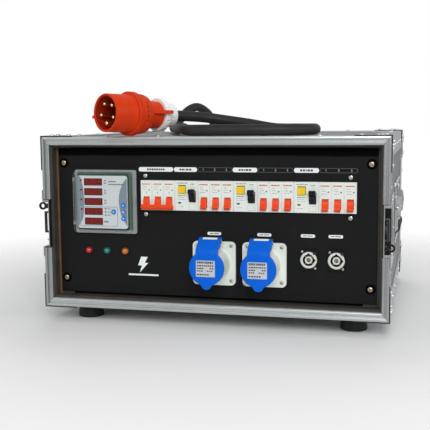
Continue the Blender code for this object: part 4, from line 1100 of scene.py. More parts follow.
# ===========================================================================
# Handles
# ===========================================================================
HANDLE_Y0, HANDLE_Y1, HANDLE_Z0, HANDLE_Z1 = -42.0, 102.0, 116.0, 200.0
HANDLE_LEN = HANDLE_Y1 - HANDLE_Y0
HINGE_X, HINGE_Z, GRIP_X, GRIP_Z = 255.0, 190.0, 257.8, 132.0
DISH_RIM = 8.0
# arm: a straight link, then two that bow it outwards; x, z, x, z, radius, segments
ARM_LINKS = ((HINGE_X, HINGE_Z, GRIP_X, GRIP_Z, 6.0, 16),
             (262.5, 179.0, 264.0, 166.0, 5.0, 14),
             (264.0, 166.0, 262.6, 150.0, 4.6, 14))
ARM_RIVETS = ((183, 258.6, 181.5), (166, 262.0, 164.0))     # name's number, x, z
COIL_RADIUS, COIL_TURNS, COIL_STEPS = 4.2, 5, 12


def grip_profile():
    """Radius and distance along the grip: 15 ridges between tapered ends."""
    ridges = 15
    pitch = (HANDLE_LEN - 38.0) / ridges
    profile = [(7.9, 17.0), (8.8, 17.6), (9.1, 18.6)]
    for k in range(ridges):
        start = 19.0 + k * pitch
        profile += [(9.2, start), (9.2, start + pitch * 0.62), (8.6, start + pitch * 0.72),
                    (8.6, start + pitch * 0.92)]
    return profile + [(9.1, HANDLE_LEN - 18.6), (8.8, HANDLE_LEN - 17.6),
                      (7.9, HANDLE_LEN - 17.0)]


def handle_end(tag, side, end, end_y, inward):
    """Arm, pivot, spring and rivets at one end of a handle."""
    body = "handle_" + tag

    def stretch(near, far):
        return sorted((end_y + inward * near, end_y + inward * far))

    links = [prism(capsule(side * ax, az, side * bx, bz, radius, seg), 'y', *stretch(7, 11))
             for ax, az, bx, bz, radius, seg in ARM_LINKS]
    piece(f"handle_arm_{end}_{tag}", carve(links[0], add=links[1:]), 'chrome', body,
          bevel=0.8, seg=3)
    hinge_x = side * HINGE_X
    piece(f"handle_pivot_{end}_{tag}",
          prism(circle(hinge_x, HINGE_Z, 2.5, 20), 'y', *stretch(1.6, 8)), 'chrome', body,
          bevel=0.3)
    low, high = stretch(11.6, 22.0)
    count = COIL_TURNS * COIL_STEPS
    coil = []
    for k in range(count + 1):
        angle = 2 * math.pi * k / COIL_STEPS
        coil.append(Vector((hinge_x + COIL_RADIUS * math.cos(angle),
                            low + (high - low) * k / count,
                            HINGE_Z + COIL_RADIUS * math.sin(angle))))
    piece(f"handle_spring_{end}_{tag}", sweep(coil, 0.8, 8), 'chrome', body, smooth=True)
    piece(f"handle_spindle_{end}_{tag}",
          prism(circle(hinge_x, HINGE_Z, 2.4, 20), 'y', low - 0.8, high + 0.8), 'zinc', body,
          bevel=0.3)
    for number, x, z in ARM_RIVETS:
        fixing(f"handle_arm_rivet_{end}_{tag}_{number}", SMALL_RIVET,
               aim(side * x, end_y + inward * 7, z, '-y' if inward > 0 else '+y'), body=body)


def handle(tag, side, out):
    body = "handle_" + tag
    cad("handle_dish_" + tag, 'dish', 0.6, 3)
    reach_y = HANDLE_LEN / 2 + DISH_RIM - 4.5
    reach_z = (HANDLE_Z1 - HANDLE_Z0) / 2 + DISH_RIM - 4.2
    for along in (-1, 0, 1):
        for rise in (-1, 1):
            rivet(side * (BOARD_X + 1.8), (HANDLE_Y0 + HANDLE_Y1) / 2 + along * reach_y,
                  (HANDLE_Z0 + HANDLE_Z1) / 2 + rise * reach_z, out, SMALL_RIVET)
    grip = lathe(grip_profile(), rearward(side * GRIP_X, HANDLE_Y0, GRIP_Z), 36)
    piece("handle_grip_" + tag, grip, 'grip', body, smooth=True, replaces=(body,),
          slot="handle_steel")
    piece("handle_rod_" + tag,
          prism(circle(side * GRIP_X, GRIP_Z, 4.0, 24), 'y', HANDLE_Y0 + 9, HANDLE_Y1 - 9),
          'chrome', body, bevel=0.4)
    handle_end(tag, side, "front", HANDLE_Y0, 1)
    handle_end(tag, side, "rear", HANDLE_Y1, -1)


for side_row in SIDES:
    handle(*side_row)

# ===========================================================================
# Front panel and rail
# ===========================================================================
RACK_X, RACK_Z = 232.55, 88.9
# radius, distance in front of y = 0
CUP_WASHER = [(3.2, 209.0), (7.0, 209.0), (7.2, 209.5), (6.8, 210.3), (5.6, 210.9),
              (4.2, 210.7), (3.2, 210.2)]
ROW_SCREWS = ((-101.3, 70.0), (203.6, 70.0), (-101.3, 12.3), (203.6, 12.3))

cad("front_panel", 'powder', 0.35, 2)
cad("din_rail", 'zinc')
for k, (side, rise) in enumerate(((-1, -1), (-1, 1), (1, -1), (1, 1)), 1):
    x, z = side * RACK_X, PANEL_Z + rise * RACK_Z
    piece(f"cup_washer_{k}", hoop(CUP_WASHER, facing(x, z), 32), 'washer_black', smooth=True)
    fixing(f"rack_screw_{k}", RACK_SCREW, aim(x, PANEL_Y - 1.3, z, '-y') @ turn(20 + 31 * k))
for k, (x, height) in enumerate(ROW_SCREWS, 1):
    fixing(f"row_screw_{k}", MID_SCREW, aim(x, PANEL_Y, up(height), '-y') @ turn(15 + 47 * k),
           'screw')

# ===========================================================================
# Breaker row: an isolator three modules wide, then three groups of five modules,
# each an RCD (two modules) and a bank of three MCBs
# ===========================================================================
MODULE = 17.78
ROW_X0 = -107.6
ROW_Z0, ROW_Z1 = up(19.1), up(63.5)
ROW_Y = PANEL_Y - 5.0           # front face of the row
ROW_INK = (ROW_Y - 0.08, ROW_Y + 0.1)
DOT_INK = (ROW_Y - 0.10, ROW_Y + 0.1)
PIVOT_Y = PANEL_Y - 1.5
LEVER_SWING = 40.0              # degrees either side of straight out

ORANGE_TOGGLE = dict(material='orange', half_width=4.4, pivot_z=up(31.5), barrel=7.2,
                     angle=-LEVER_SWING, root=3.0, tip=2.2)
BLACK_TOGGLE = dict(material='toggle_black', half_width=4.8, pivot_z=up(40.0), barrel=8.0,
                    angle=LEVER_SWING, root=3.2, tip=2.4)

# Print: tag, x0 and x1 from the module's middle (RCD: left edge), height, size, words, ink
ISOLATOR_PRINT = (
    ("print", -6.4, 5.6, 58.0, 1.7, (1, 1.3, 0.8, 1.2, 1, 1.1), 'red_ink'),
    ("fine", -5.6, 1.5, 54.0, 0.7, (2, 2, 1), 'pale_ink'),
    ("fine_b", -5.6, 0.2, 50.6, 0.7, (2, 1), 'pale_ink'),
)
MCB_PRINT = (
    ("rating", -6.6, 5.9, 58.0, 1.8, (1, 1.2, 0.9, 1.3, 1, 1.1, 0.8), 'red_ink'),
    ("fine", -5.6, 1.0, 50.4, 0.7, (1, 2), 'pale_ink'),
    ("fine_b", -5.6, 2.6, 46.8, 0.7, (3, 2), 'pale_ink'),
    ("type", -5.6, -0.5, 53.6, 0.7, (2, 2, 1), 'pale_ink'),
    ("small", -5.6, 5.2, 22.3, 0.6, (3, 2, 2), 'pale_ink'),
)
RCD_PRINT = (
    ("print_a", 3.6, 19.5, 60.0, 1.1, (1, 1, 1.5, 1, 0.8, 1), 'grey_ink'),
    ("print_b", 4.6, 16.0, 41.5, 0.9, (3, 2), 'grey_ink'),
    ("print_c", 4.6, 14.0, 38.6, 0.6, (1, 2, 2), 'pale_ink'),
    ("print_d", 4.6, 16.5, 35.8, 0.6, (2, 2, 1), 'pale_ink'),
    ("print_e", 4.6, 13.0, 25.5, 0.6, (1, 2), 'pale_ink'),
    ("print_f", 23.75, 29.75, 58.6, 1.0, (1, 2), 'grey_ink'),
)


def module_x(modules):
    return ROW_X0 + modules * MODULE


def nose_point(pivot_z, angle, out, across):
    """Side-view point (y, z) of a lever, out along it and across it from its pivot."""
    lean = math.radians(angle)
    return (PIVOT_Y - math.cos(lean) * out - math.sin(lean) * across,
            pivot_z + math.sin(lean) * out - math.cos(lean) * across)


def toggle(name, x, body, length, material, half_width, pivot_z, barrel, angle, root, tip,
           **options):
    """A round barrel with a nose at an angle from straight out."""
    lean = math.radians(angle)
    opening = math.asin(root / barrel)
    seg = 26
    outline = []
    for k in range(seg + 1):
        around = lean + opening + (2 * math.pi - 2 * opening) * k / seg
        outline.append((PIVOT_Y - barrel * math.cos(around),
                        pivot_z + barrel * math.sin(around)))
    outline += [nose_point(pivot_z, angle, out, across) for out, across in
                ((length - 1.2, root), (length, tip), (length, -tip), (length - 1.2, -root))]
    piece(name, prism(outline, 'x', x - half_width, x + half_width), material, body,
          bevel=0.45, seg=3, angle=24, **options)


def isolator():
    """Three toggles tied by a bar."""
    body = "isolator_lever"
    pivot_z, angle = ORANGE_TOGGLE['pivot_z'], ORANGE_TOGGLE['angle']
    tie = [nose_point(pivot_z, angle, out, across) for out, across in
           ((9.4, -3.8), (14.6, -3.0), (14.6, 3.0), (9.4, 3.8))]
    piece("isolator_tie_bar", prism(tie, 'x', ROW_X0 + 2.2, module_x(3) - 1.4), 'orange',
          body, bevel=0.7, seg=3, replaces=(body,), slot="lever_orange")
    for k in range(3):
        x, number = module_x(k + 0.5), k + 1
        toggle(f"isolator_toggle_{number}", x, body, length=11.4, **ORANGE_TOGGLE)
        if k < 2:
            seam_x = module_x(k + 1)
            piece(f"isolator_seam_{number}",
                  box(seam_x - 0.16, seam_x + 0.16, ROW_Y - 0.06, ROW_Y + 0.3, ROW_Z0 + 0.8,
                      ROW_Z1 - 0.8), 'pale_ink')
        print_lines("isolator", number, x, ISOLATOR_PRINT)
        piece(f"isolator_mark_{number}",
              prism(circle(x + 4.6, up(49.2), 1.0, 20), 'y', *DOT_INK), 'grey_ink')
        piece(f"isolator_line_{number}", box(x - 0.35, x + 0.35, *ROW_INK, up(43.5), up(46.5)),
              'grey_ink')
        # grey line for a shallow step under the toggle: painted shade of the step
        piece(f"isolator_step_{number}",
              box(x - 6.0, x + 6.0, ROW_Y - 0.25, ROW_Y + 0.2, up(20.0), up(20.5)), 'pale_ink')


def mcb(number, x):
    body = f"mcb_lever_{number}"
    toggle(f"mcb_toggle_{number}", x, body, length=12.5, **ORANGE_TOGGLE, replaces=(body,),
           slot="lever_orange")
    print_lines("mcb", number, x, MCB_PRINT[:4])
    piece(f"mcb_dot_{number}", prism(circle(x + 4.6, up(49.2), 1.15, 20), 'y', *DOT_INK),
          'grey_ink')
    print_lines("mcb", number, x, MCB_PRINT[4:])


def rcd(number, left):
    lever_x, button_x = left + 26.75, left + 11.0
    body, button = f"rcd_lever_{number}", f"rcd_test_button_{number}"
    toggle(f"rcd_toggle_{number}", lever_x, body, length=15.2, **BLACK_TOGGLE,
           replaces=(body,), slot="lever_black")
    cap = prism(rounded(button_x, up(50.8) - 0.3, 11.0, 11.0, 1.6, 6), 'y', PANEL_Y - 7.8,
                PANEL_Y)
    piece(f"rcd_button_{number}", cap, 'yellow', button, bevel=0.7, seg=4,
          replaces=(button,), slot="button_yellow")
    print_lines("rcd", number, left, RCD_PRINT[:4])
    flag = rounded(left + 7.25, up(30.7), 5.0, 2.5, 1.2, 6)
    piece(f"rcd_flag_{number}", prism(flag, 'y', ROW_Y - 0.12, ROW_Y + 0.2), 'green')
    print_lines("rcd", number, left, RCD_PRINT[4:])
    outline = ring_prism(rounded(lever_x, up(25.2), 10.6, 8.2, 0.8, 3),
                         rounded(lever_x, up(25.2), 10.0, 7.6, 0.5, 3), 'y', ROW_Y - 0.09,
                         ROW_Y + 0.1)
    piece(f"rcd_panel_{number}", outline, 'pale_ink')


for node in ("isolator_body", "rcd_body_1", "rcd_body_2", "rcd_body_3", "mcb_bank_1",
             "mcb_bank_2", "mcb_bank_3"):
    cad(node, 'breaker', 0.45, 3)
isolator()
for group in (1, 2, 3):
    for k in range(3):
        mcb(3 * (group - 1) + k + 1, module_x(5 * group + k + 0.5))
for group in (1, 2, 3):
    rcd(group, module_x(5 * group - 2))

# ===========================================================================
# Print on the panel: white name plates, and outlined boxes with circuit numbers
# ===========================================================================
LABEL_Z0, LABEL_Z1 = up(76.3), up(83.1)
LABEL_Z = (LABEL_Z0 + LABEL_Z1) / 2
PLATE_INK = (PANEL_Y - 0.53, PANEL_Y - 0.4)
PANEL_INK = (PANEL_Y - 0.14, PANEL_Y + 0.05)
# x0, x1, words
NAME_PLATES = ((-112.0, -57.6, (1, 1, 1.2, 1, 1.1, 0.9, 1, 1)),
               (-57.0, -20.9, (1, 1, 0.5, 1.2, 1.1)),
               (32.4, 69.5, (1, 1, 0.5, 1.2, 1.1)),
               (122.6, 158.9, (1, 1, 0.5, 1.2, 1.1)))
NUMBER_BOXES = ((-20.3, 31.8), (70.1, 122.0), (159.5, 213.4))
OUTLET_PLATES = ((-6.0, 14.8), (69.0, 89.9), (132.9, 153.4), (172.7, 193.4))
# strokes of the numerals in a unit square
NUMERALS = {'1': [(0.1, 0.75), (0.5, 1.0), (0.5, 0.0)],
            '2': [(0.0, 0.80), (0.15, 0.97), (0.5, 1.0), (0.85, 0.9), (0.9, 0.68), (0.0, 0.0),
                  (0.95, 0.0)],
            '3': [(0.0, 0.95), (0.85, 0.98), (0.4, 0.56), (0.85, 0.42), (0.85, 0.12),
                  (0.4, 0.0), (0.0, 0.08)]}
NUMERAL_W, NUMERAL_H, NUMERAL_STROKE = 1.7, 3.0, 0.5
# x, height above the panel's centre
BOLT = [(-110.6, -53.0), (-100.2, -53.0), (-105.0, -62.2), (-99.4, -62.2), (-113.4, -77.4),
        (-109.6, -66.4), (-115.8, -66.4)]


def plate(name, x0, x1, z0, z1):
    outline = rounded((x0 + x1) / 2, (z0 + z1) / 2, x1 - x0, z1 - z0, (z1 - z0) * 0.42, 6)
    piece(name, prism(outline, 'y', PANEL_Y - 0.45, PANEL_Y + 0.05), 'white_ink', bevel=0.12)


def number_box(number, x0, x1):
    middle, width, height = (x0 + x1) / 2, x1 - x0, LABEL_Z1 - LABEL_Z0
    outline = ring_prism(rounded(middle, LABEL_Z, width, height, 3.2, 6),
                         rounded(middle, LABEL_Z, width - 1.3, height - 1.3, 2.6, 6), 'y',
                         *PANEL_INK)
    piece(f"number_box_{number}", outline, 'outline_ink')
    for k, numeral in enumerate("123"):
        left = x0 + width * (k + 0.5) / 3 - NUMERAL_W / 2
        low = LABEL_Z - NUMERAL_H / 2
        stroke = [(left + px * NUMERAL_W, low + pz * NUMERAL_H) for px, pz in NUMERALS[numeral]]
        piece(f"number_{number}_{k + 1}",
              prism(ribbon(stroke, NUMERAL_STROKE), 'y', *PANEL_INK), 'number_ink')


for k, (x0, x1, words) in enumerate(NAME_PLATES, 1):
    plate(f"name_plate_{k}", x0 + 0.3, x1 - 0.3, LABEL_Z0, LABEL_Z1)
    quarter = (x1 - x0) * 0.25
    print_line(f"name_print_{k}", x0 + quarter, x1 - quarter, LABEL_Z, 2.7, words,
               'black_ink', PLATE_INK)
for k, (x0, x1) in enumerate(NUMBER_BOXES, 1):
    number_box(k, x0, x1)
for k, (x0, x1) in enumerate(OUTLET_PLATES, 1):
    plate(f"outlet_plate_{k}", x0, x1, up(-16.9), up(-12.2))
    print_line(f"outlet_print_{k}", x0 + 3.4, x1 - 3.4, up(-14.5), 1.3, (2, 3), 'grey_ink',
               PLATE_INK)

# power mark: a bolt over a plain bar
piece("power_mark_bolt", prism([(x, up(height)) for x, height in BOLT], 'y', *PANEL_INK),
      'white_ink')
piece("power_mark_bar", prism(rounded(-107.4, up(-80.7), 48.0, 2.6, 1.2, 5), 'y', *PANEL_INK),
      'white_ink')

# ===========================================================================
# Meter
# ===========================================================================
METER_X, METER_Z = -166.5, up(30.4)
METER_Y = PANEL_Y - 12.0        # front face
METER_INK = (METER_Y - 0.10, METER_Y + 0.15)
TITLE_INK = (METER_Y - 0.14, METER_Y + 0.15)
LED_DEPTH = (METER_Y - 0.25, METER_Y + 0.15)
DIGIT_DEPTH = (METER_Y - 0.27, METER_Y - 0.15)
KEY_R = 3.6
KEYS = ((-133.1, 25.9), (-133.0, 16.0), (-133.0, 6.2), (-148.9, 15.9))     # x, height

# grey bands on the face: x, height above the panel's centre
LEFT_BAND = [(-206.5, 68.3), (-203.0, 69.6), (-200.8, 66.0), (-198.6, 58.0), (-197.1, 50.0),
             (-196.2, 38.0), (-196.4, 20.0), (-197.6, 10.0), (-200.0, 2.0), (-206.5, -7.5)]
RIGHT_BAND = [(-127.0, 67.0), (-131.0, 62.5), (-134.5, 57.0), (-137.6, 49.5), (-139.7, 41.5),
              (-140.4, 33.0), (-139.4, 22.0), (-137.0, 12.0), (-133.0, 2.8), (-127.0, -6.0)]
# strokes of a seven-segment digit on a grid one cell wide and two high
DIGIT = [[(0, 0), (1, 0)], [(0, 1), (1, 1)], [(0, 2), (1, 2)], [(0, 0), (0, 1)],
         [(1, 0), (1, 1)], [(0, 1), (0, 2)], [(1, 1), (1, 2)]]
DIGIT_X0, DIGIT_PITCH = -192.6, 6.55
CELL_W, CELL_H, DIGIT_SKEW = 3.5, 3.45, 0.35
DISPLAY_H = 10.9


def meter_housing():
    bezel = ring_prism(rounded(METER_X + 1.9, METER_Z, 98.8, 96.6, 3, 6),
                       rounded(METER_X + 1.0, METER_Z + 0.9, 88.4, 88.0, 2.0, 6), 'y',
                       PANEL_Y - 4.0, PANEL_Y - 0.3)
    piece("meter_bezel", bezel, 'meter_rim', bevel=0.6, seg=3)
    channel = rounded(METER_X + 1.0, METER_Z + 0.9, 88.2, 87.8, 2.0, 4)
    piece("meter_channel", prism(channel, 'y', PANEL_Y - 1.2, PANEL_Y - 0.2), 'meter_side')

    def key_wells():
        return [prism(circle(x, up(height), KEY_R + 0.4, 28), 'y', METER_Y - 2, METER_Y + 5)
                for x, height in KEYS]

    block = prism(rounded(METER_X, METER_Z, 80.4, 80.0, 4, 8), 'y', METER_Y + 1.0,
                  PANEL_Y - 1.0)
    piece("meter_block", carve(block, cut=key_wells()), 'meter_side', bevel=0.3,
          replaces=("meter_case",), slot="meter_white")
    piece("meter_rear", box(METER_X - 45.5, METER_X + 45.5, PANEL_Y + 0.2, -145.0,
                            METER_Z - 45.5, METER_Z + 45.5), 'black', bevel=1.0)
    face = prism(rounded(METER_X, METER_Z, 80.2, 79.8, 3.9, 8), 'y', METER_Y, METER_Y + 1.05)
    piece("meter_face", carve(face, cut=key_wells()), 'meter', bevel=0.3)


def meter_key(number, x, z):
    """Round key with a white symbol: up, ring, down or left."""
    body = f"meter_key_{number}"
    front = -METER_Y
    profile = [(KEY_R, front - 3.5), (KEY_R, front + 0.9), (KEY_R - 0.25, front + 1.35),
               (KEY_R - 0.8, front + 1.5), (0, front + 1.42)]
    piece(f"key_cap_{number}", lathe(profile, facing(x, z), 32), 'key', body, smooth=True,
          replaces=(body,), slot="key_blue")
    depth = (METER_Y - 1.62, METER_Y - 1.35)
    if number == 2:
        symbol = ring_prism(circle(x, z, 1.6, 20), circle(x, z, 0.9, 20), 'y', *depth)
    elif number == 4:
        symbol = prism([(x + 0.9, z - 1.5), (x + 0.9, z + 1.5), (x - 1.4, z)], 'y', *depth)
    else:
        rise = 1 if number == 1 else -1
        symbol = prism([(x - 1.5, z - 0.9 * rise), (x + 1.5, z - 0.9 * rise),
                        (x, z + 1.4 * rise)], 'y', *depth)
    piece(f"key_symbol_{number}", symbol, 'white_ink', body)


def display(number, z0):
    """Red window with four unlit digits, each with its point."""
    window = rounded(-181.0, z0 + DISPLAY_H / 2, 29.3, DISPLAY_H, 0.8, 3)
    piece(f"display_{number}", prism(window, 'y', METER_Y - 0.22, METER_Y + 0.2), 'display',
          bevel=0.1)
    digits = None
    for place_number in range(4):
        x0 = DIGIT_X0 + DIGIT_PITCH * place_number
        for segment in DIGIT:
            start, end = [Vector((x0 + u * CELL_W + v * DIGIT_SKEW, z0 + 2.0 + v * CELL_H))
                          for u, v in segment]
            trim = (end - start).normalized() * 0.45
            digits = prism(ribbon([start + trim, end - trim], 0.62), 'y', *DIGIT_DEPTH, digits)
        digits = prism(circle(x0 + CELL_W + 1.1, z0 + 1.9, 0.38, 10), 'y', *DIGIT_DEPTH, digits)
    piece(f"display_digits_{number}", digits, 'segment')


def meter_marks():
    for k, height in enumerate((63.4, 48.8, 34.0, 19.3), 1):
        piece(f"meter_led_{k}", prism(circle(-200.6, up(height), 1.7, 18), 'y', *LED_DEPTH),
              'led')
    for k, height in enumerate((20.4, 15.6, 10.8), 1):
        mark = rounded(-161.6, up(height), 2.0, 2.0, 0.3, 2)
        piece(f"meter_mark_led_{k}", prism(mark, 'y', *LED_DEPTH), 'led')
        print_line(f"meter_unit_small_{k}", -158.6, -153.6, up(height), 1.1, (2, 1),
                   'grey_ink', METER_INK)
    for k, height in enumerate((60.9, 46.0, 31.2), 1):
        for line, rise in enumerate((1.9, -1.9), 1):
            print_line(f"meter_unit_{k}_{line}", -163.4, -160.2, up(height + rise), 1.9,
                       (1, 1), 'grey_ink', METER_INK)
    print_line("meter_unit_4", -164.2, -157.6, up(0.8), 2.6, (1, 1, 1), 'grey_ink', METER_INK)
    print_line("meter_title_1", -156.2, -144.6, up(61.6), 1.9, (1,) * 5, 'grey_ink', TITLE_INK)
    print_line("meter_title_2", -156.2, -131.4, up(57.3), 1.9, (1,) * 9, 'grey_ink', TITLE_INK)


def meter_cover():
    """Clear cover hinged on its left side."""
    shell = carve(prism(rounded(METER_X + 0.5, METER_Z, 92.0, 91.0, 4, 8), 'y',
                        PANEL_Y - 16.0, PANEL_Y - 4.4),
                  cut=[prism(rounded(METER_X + 0.5, METER_Z, 89.0, 88.0, 2.5, 8), 'y',
                             PANEL_Y - 14.5, PANEL_Y + 10)])
    piece("cover_shell", shell, 'clear', "meter_cover", bevel=0.5, seg=3,
          replaces=("meter_cover",), slot="cover_clear")
    hinge_x, hinge_y = METER_X - 49.9, PANEL_Y - 3.0
    low, high = METER_Z - 30, METER_Z + 30
    strap = box(hinge_x, METER_X - 45.6, PANEL_Y - 5.9, PANEL_Y - 4.4, low, high)
    barrel = prism(circle(hinge_x, hinge_y, 2.0, 24), 'z', low, high)
    piece("cover_hinge", carve(barrel, add=[strap]), 'clear', "meter_cover", bevel=0.2)
    for tag, z in (("a", METER_Z - 33.5), ("b", METER_Z + 33.5)):
        knuckle = prism(circle(hinge_x + 0.2, hinge_y, 2.2, 20), 'z', z - 2.6, z + 2.6)
        piece("cover_knuckle_" + tag, knuckle, 'meter_rim', bevel=0.3)
    catch = rounded(METER_X + 49.3, METER_Z, 3.0, 12.0, 1.0, 4)
    piece("cover_catch", prism(catch, 'y', PANEL_Y - 6.4, PANEL_Y - 3.8), 'meter_rim',
          bevel=0.3)


meter_housing()
for k, (x, height) in enumerate(KEYS, 1):
    meter_key(k, x, up(height))
for name, band in (("meter_band_left", LEFT_BAND), ("meter_band_right", RIGHT_BAND)):
    piece(name, prism([(x, up(height)) for x, height in band], 'y', *METER_INK), 'meter_grey')
piece("meter_outline", ring_prism(rounded(-172.65, up(8.65), 61.1, 29.9, 1.5, 4),
                                  rounded(-172.65, up(8.65), 59.3, 28.1, 1.0, 4), 'y',
                                  *TITLE_INK), 'meter_line')
for k, top in enumerate((66.3, 51.4, 36.5, 21.6, 6.6), 1):
    display(k, up(top - DISPLAY_H))
meter_marks()
meter_cover()

# ===========================================================================
# Pilot lamps
# ===========================================================================
LAMPS = (("red", -194.5), ("green", -165.0), ("amber", -135.5))
LAMP_Z = up(-45.0)
LENS_R, LENS_RISE, LENS_BASE = 5.15, 4.8, FRONT + 2.2
# radius, distance in front of y = 0
LAMP_BEZEL = [(4.1, FRONT - 24), (4.1, FRONT + 0.2), (6.5, FRONT + 0.2), (6.6, FRONT + 0.8),
              (6.3, FRONT + 1.5), (5.7, FRONT + 1.9), (5.2, FRONT + 1.7), (5.2, FRONT + 0.4),
              (0, FRONT + 0.4)]
LENS_DOME = [(5.1, FRONT + 0.5), (LENS_R, LENS_BASE)]
for k in range(1, 9):
    angle = math.radians(90 * k / 8)
    LENS_DOME.append((LENS_R * math.cos(angle) if k < 8 else 0,
                      LENS_BASE + LENS_RISE * math.sin(angle)))

for name, x in LAMPS:
    piece("lamp_bezel_" + name, lathe(LAMP_BEZEL, facing(x, LAMP_Z), 36), 'black', smooth=True)
    piece("lamp_lens_" + name, lathe(LENS_DOME, facing(x, LAMP_Z), 36), 'lamp_' + name,
          smooth=True, replaces=("pilot_lamp_" + name,), slot="lamp_" + name)

# ===========================================================================
# Blue-lidded sockets
# ===========================================================================
SOCKETS = (4.7, 80.05)          # x of each
SOCKET_Z = up(-58.3)
SOCKET_FLANGE, SOCKET_R, SOCKET_OUT = 65.2, 24.0, 43.0
SOCKET_TOP = SOCKET_Z + SOCKET_R
RIM = FRONT + SOCKET_OUT        # distance of the barrel's rim in front of y = 0
CORE_R = 15.0
FLANGE_SCREWS = ((-25.5, 26), (25.5, 26), (-25.5, -26), (25.5, -26))
CONTACT_ANGLES, CONTACT_RING = (-90, 30, 150), 9.0
LID_R, HINGE_Y, LID_HINGE_Z = 26.5, PANEL_Y - 24.0, up(-21.4)
LID_Y = -RIM - 6.55             # front face of the lid

# radius, distance in front of y = 0
BARREL = [(15.2, RIM - 9), (20.8, RIM - 9), (21.0, RIM - 0.6), (21.4, RIM), (23.5, RIM),
          (SOCKET_R, RIM - 0.6), (SOCKET_R, FRONT + 8.2), (24.6, FRONT + 6.2),
          (26.2, FRONT + 5.2), (26.2, FRONT + 4.0), (15.2, FRONT + 4.0)]
CONTACT = [(1.5, RIM - 14), (2.1, RIM - 14), (2.1, RIM - 22), (1.5, RIM - 22)]
SOCKET_REAR = [(22.6, FRONT - 0.5), (22.6, FRONT - 2.5), (22, FRONT - 4), (22, FRONT - 42),
               (20.5, FRONT - 44), (0, FRONT - 44)]
LID_DISC = [(0, RIM + 0.9), (25.0, RIM + 0.9), (25.8, RIM + 1.8), (25.8, RIM + 4.6),
            (25.4, RIM + 5.5), (24.5, RIM + 6.15), (22.9, RIM + 6.45), (20.0, RIM + 6.55),
            (0, RIM + 6.55)]
LID_SEAL = [(19.0, RIM + 0.95), (19.0, RIM + 0.35), (24.4, RIM + 0.35), (24.4, RIM + 0.95)]
# radius, distance along x
LID_PIN = [(0, -16.6), (1.4, -16.6), (1.7, -16.3), (1.7, 16.3), (1.4, 16.6), (0, 16.6)]
# thumb tab: x, z from just above the lid's lowest point
LID_TAB = [(-9.6, 1.9), (-8.0, 0.6), (-6.9, -0.9), (-6.2, -2.4), (-5.2, -3.8), (-3.6, -4.9),
           (-1.8, -5.4), (0, -5.5), (1.8, -5.4), (3.6, -4.9), (5.2, -3.8), (6.2, -2.4),
           (6.9, -0.9), (8.0, 0.6), (9.6, 1.9), (7, 9), (-7, 9)]
# print on the sticker, from its middle: z, height, words, x0, x1
LID_PRINT = ((8.9, 2.9, (1, 1, 1, 0.8, 0.2, 1, 1.2, 1, 1, 0.9), -12.2, 11.2),
             (4.3, 1.9, (1, 1.4, 1, 1, 0.8, 1.2, 1, 1), -12.2, 12.0),
             (0.4, 1.9, (1, 1.2, 1), -12.2, -3.0), (0.4, 1.9, (1, 0.9), 6.4, 12.0),
             (-3.3, 1.7, (1, 1, 1.2), -12.2, -4.0), (-3.3, 1.5, (1, 0.6, 1), 2.0, 10.4),
             (-8.6, 2.1, (1, 1.2, 0.9, 1, 1), -12.2, 5.0))


def lid_neck():
    """Side view (y, z) of the neck that slopes back to the hinge ears."""
    outline = [(-RIM - 6.5, SOCKET_TOP - 12), (-RIM - 1.0, SOCKET_TOP - 12),
               (-RIM - 1.0, SOCKET_TOP + 1.2), (HINGE_Y - 8, SOCKET_TOP + 2.6),
               (HINGE_Y - 3.6, LID_HINGE_Z - 4.0)]
    for k in range(13):
        angle = math.radians(-110 + 230 * k / 12)
        outline.append((HINGE_Y + 4.9 * math.cos(angle), LID_HINGE_Z + 4.6 * math.sin(angle)))
    return outline + [(HINGE_Y - 6.5, LID_HINGE_Z + 2.6), (HINGE_Y - 10, LID_HINGE_Z - 0.5),
                      (-RIM - 2.6, SOCKET_TOP + 4.4), (-RIM - 4.8, SOCKET_TOP + 2.2),
                      (-RIM - 6.1, SOCKET_TOP - 1.5), (-RIM - 6.5, SOCKET_TOP - 6)]


def socket_base(number, x):
    flange = prism(rounded(x, SOCKET_Z, SOCKET_FLANGE, SOCKET_FLANGE, 7, 8), 'y',
                   PANEL_Y - 5.3, PANEL_Y - GAP)
    cups = [prism(circle(x + dx, SOCKET_Z + dz, 3.4, 24), 'y', PANEL_Y - 9, PANEL_Y - 3.6)
            for dx, dz in FLANGE_SCREWS]
    piece(f"socket_flange_{number}", carve(flange, cut=cups), 'socket', bevel=1.0, seg=4,
          replaces=(f"socket_base_{number}",), slot="socket_grey")
    for k, (dx, dz) in enumerate(FLANGE_SCREWS, 1):
        fixing(f"socket_screw_{number}_{k}", SMALL_SCREW,
               aim(x + dx, PANEL_Y - 3.5, SOCKET_Z + dz, '-y') @ turn(33 * k + 50 * number),
               'rusty')
    middle = facing(x, SOCKET_Z)
    piece(f"socket_barrel_{number}", hoop(BARREL, middle, 56), 'socket', smooth=True)
    contacts = [(x + CONTACT_RING * math.cos(math.radians(angle)),
                 SOCKET_Z + CONTACT_RING * math.sin(math.radians(angle)))
                for angle in CONTACT_ANGLES]
    # the lowest of the three holes is the widest
    holes = [prism(circle(*contact, radius, 24), 'y', -RIM + 5, -RIM + 25)
             for contact, radius in zip(contacts, (3.4, 2.9, 2.9))]
    core = prism(circle(x, SOCKET_Z, CORE_R, 48), 'y', -RIM + 7, PANEL_Y - 4.2)
    piece(f"socket_core_{number}", carve(core, cut=holes), 'blue', bevel=0.35)
    for k, contact in enumerate(contacts, 1):
        piece(f"socket_contact_{number}_{k}", hoop(CONTACT, facing(*contact), 20),
              'brass_pin', smooth=True)
    piece(f"socket_rear_{number}", lathe(SOCKET_REAR, middle, 40), 'socket', smooth=True)
    lug = capsule(HINGE_Y, LID_HINGE_Z, HINGE_Y, SOCKET_TOP - 3, 4.4, 14)
    piece(f"socket_lug_{number}", prism(lug, 'x', x - 11.0, x + 11.0), 'socket', bevel=0.5,
          seg=3)


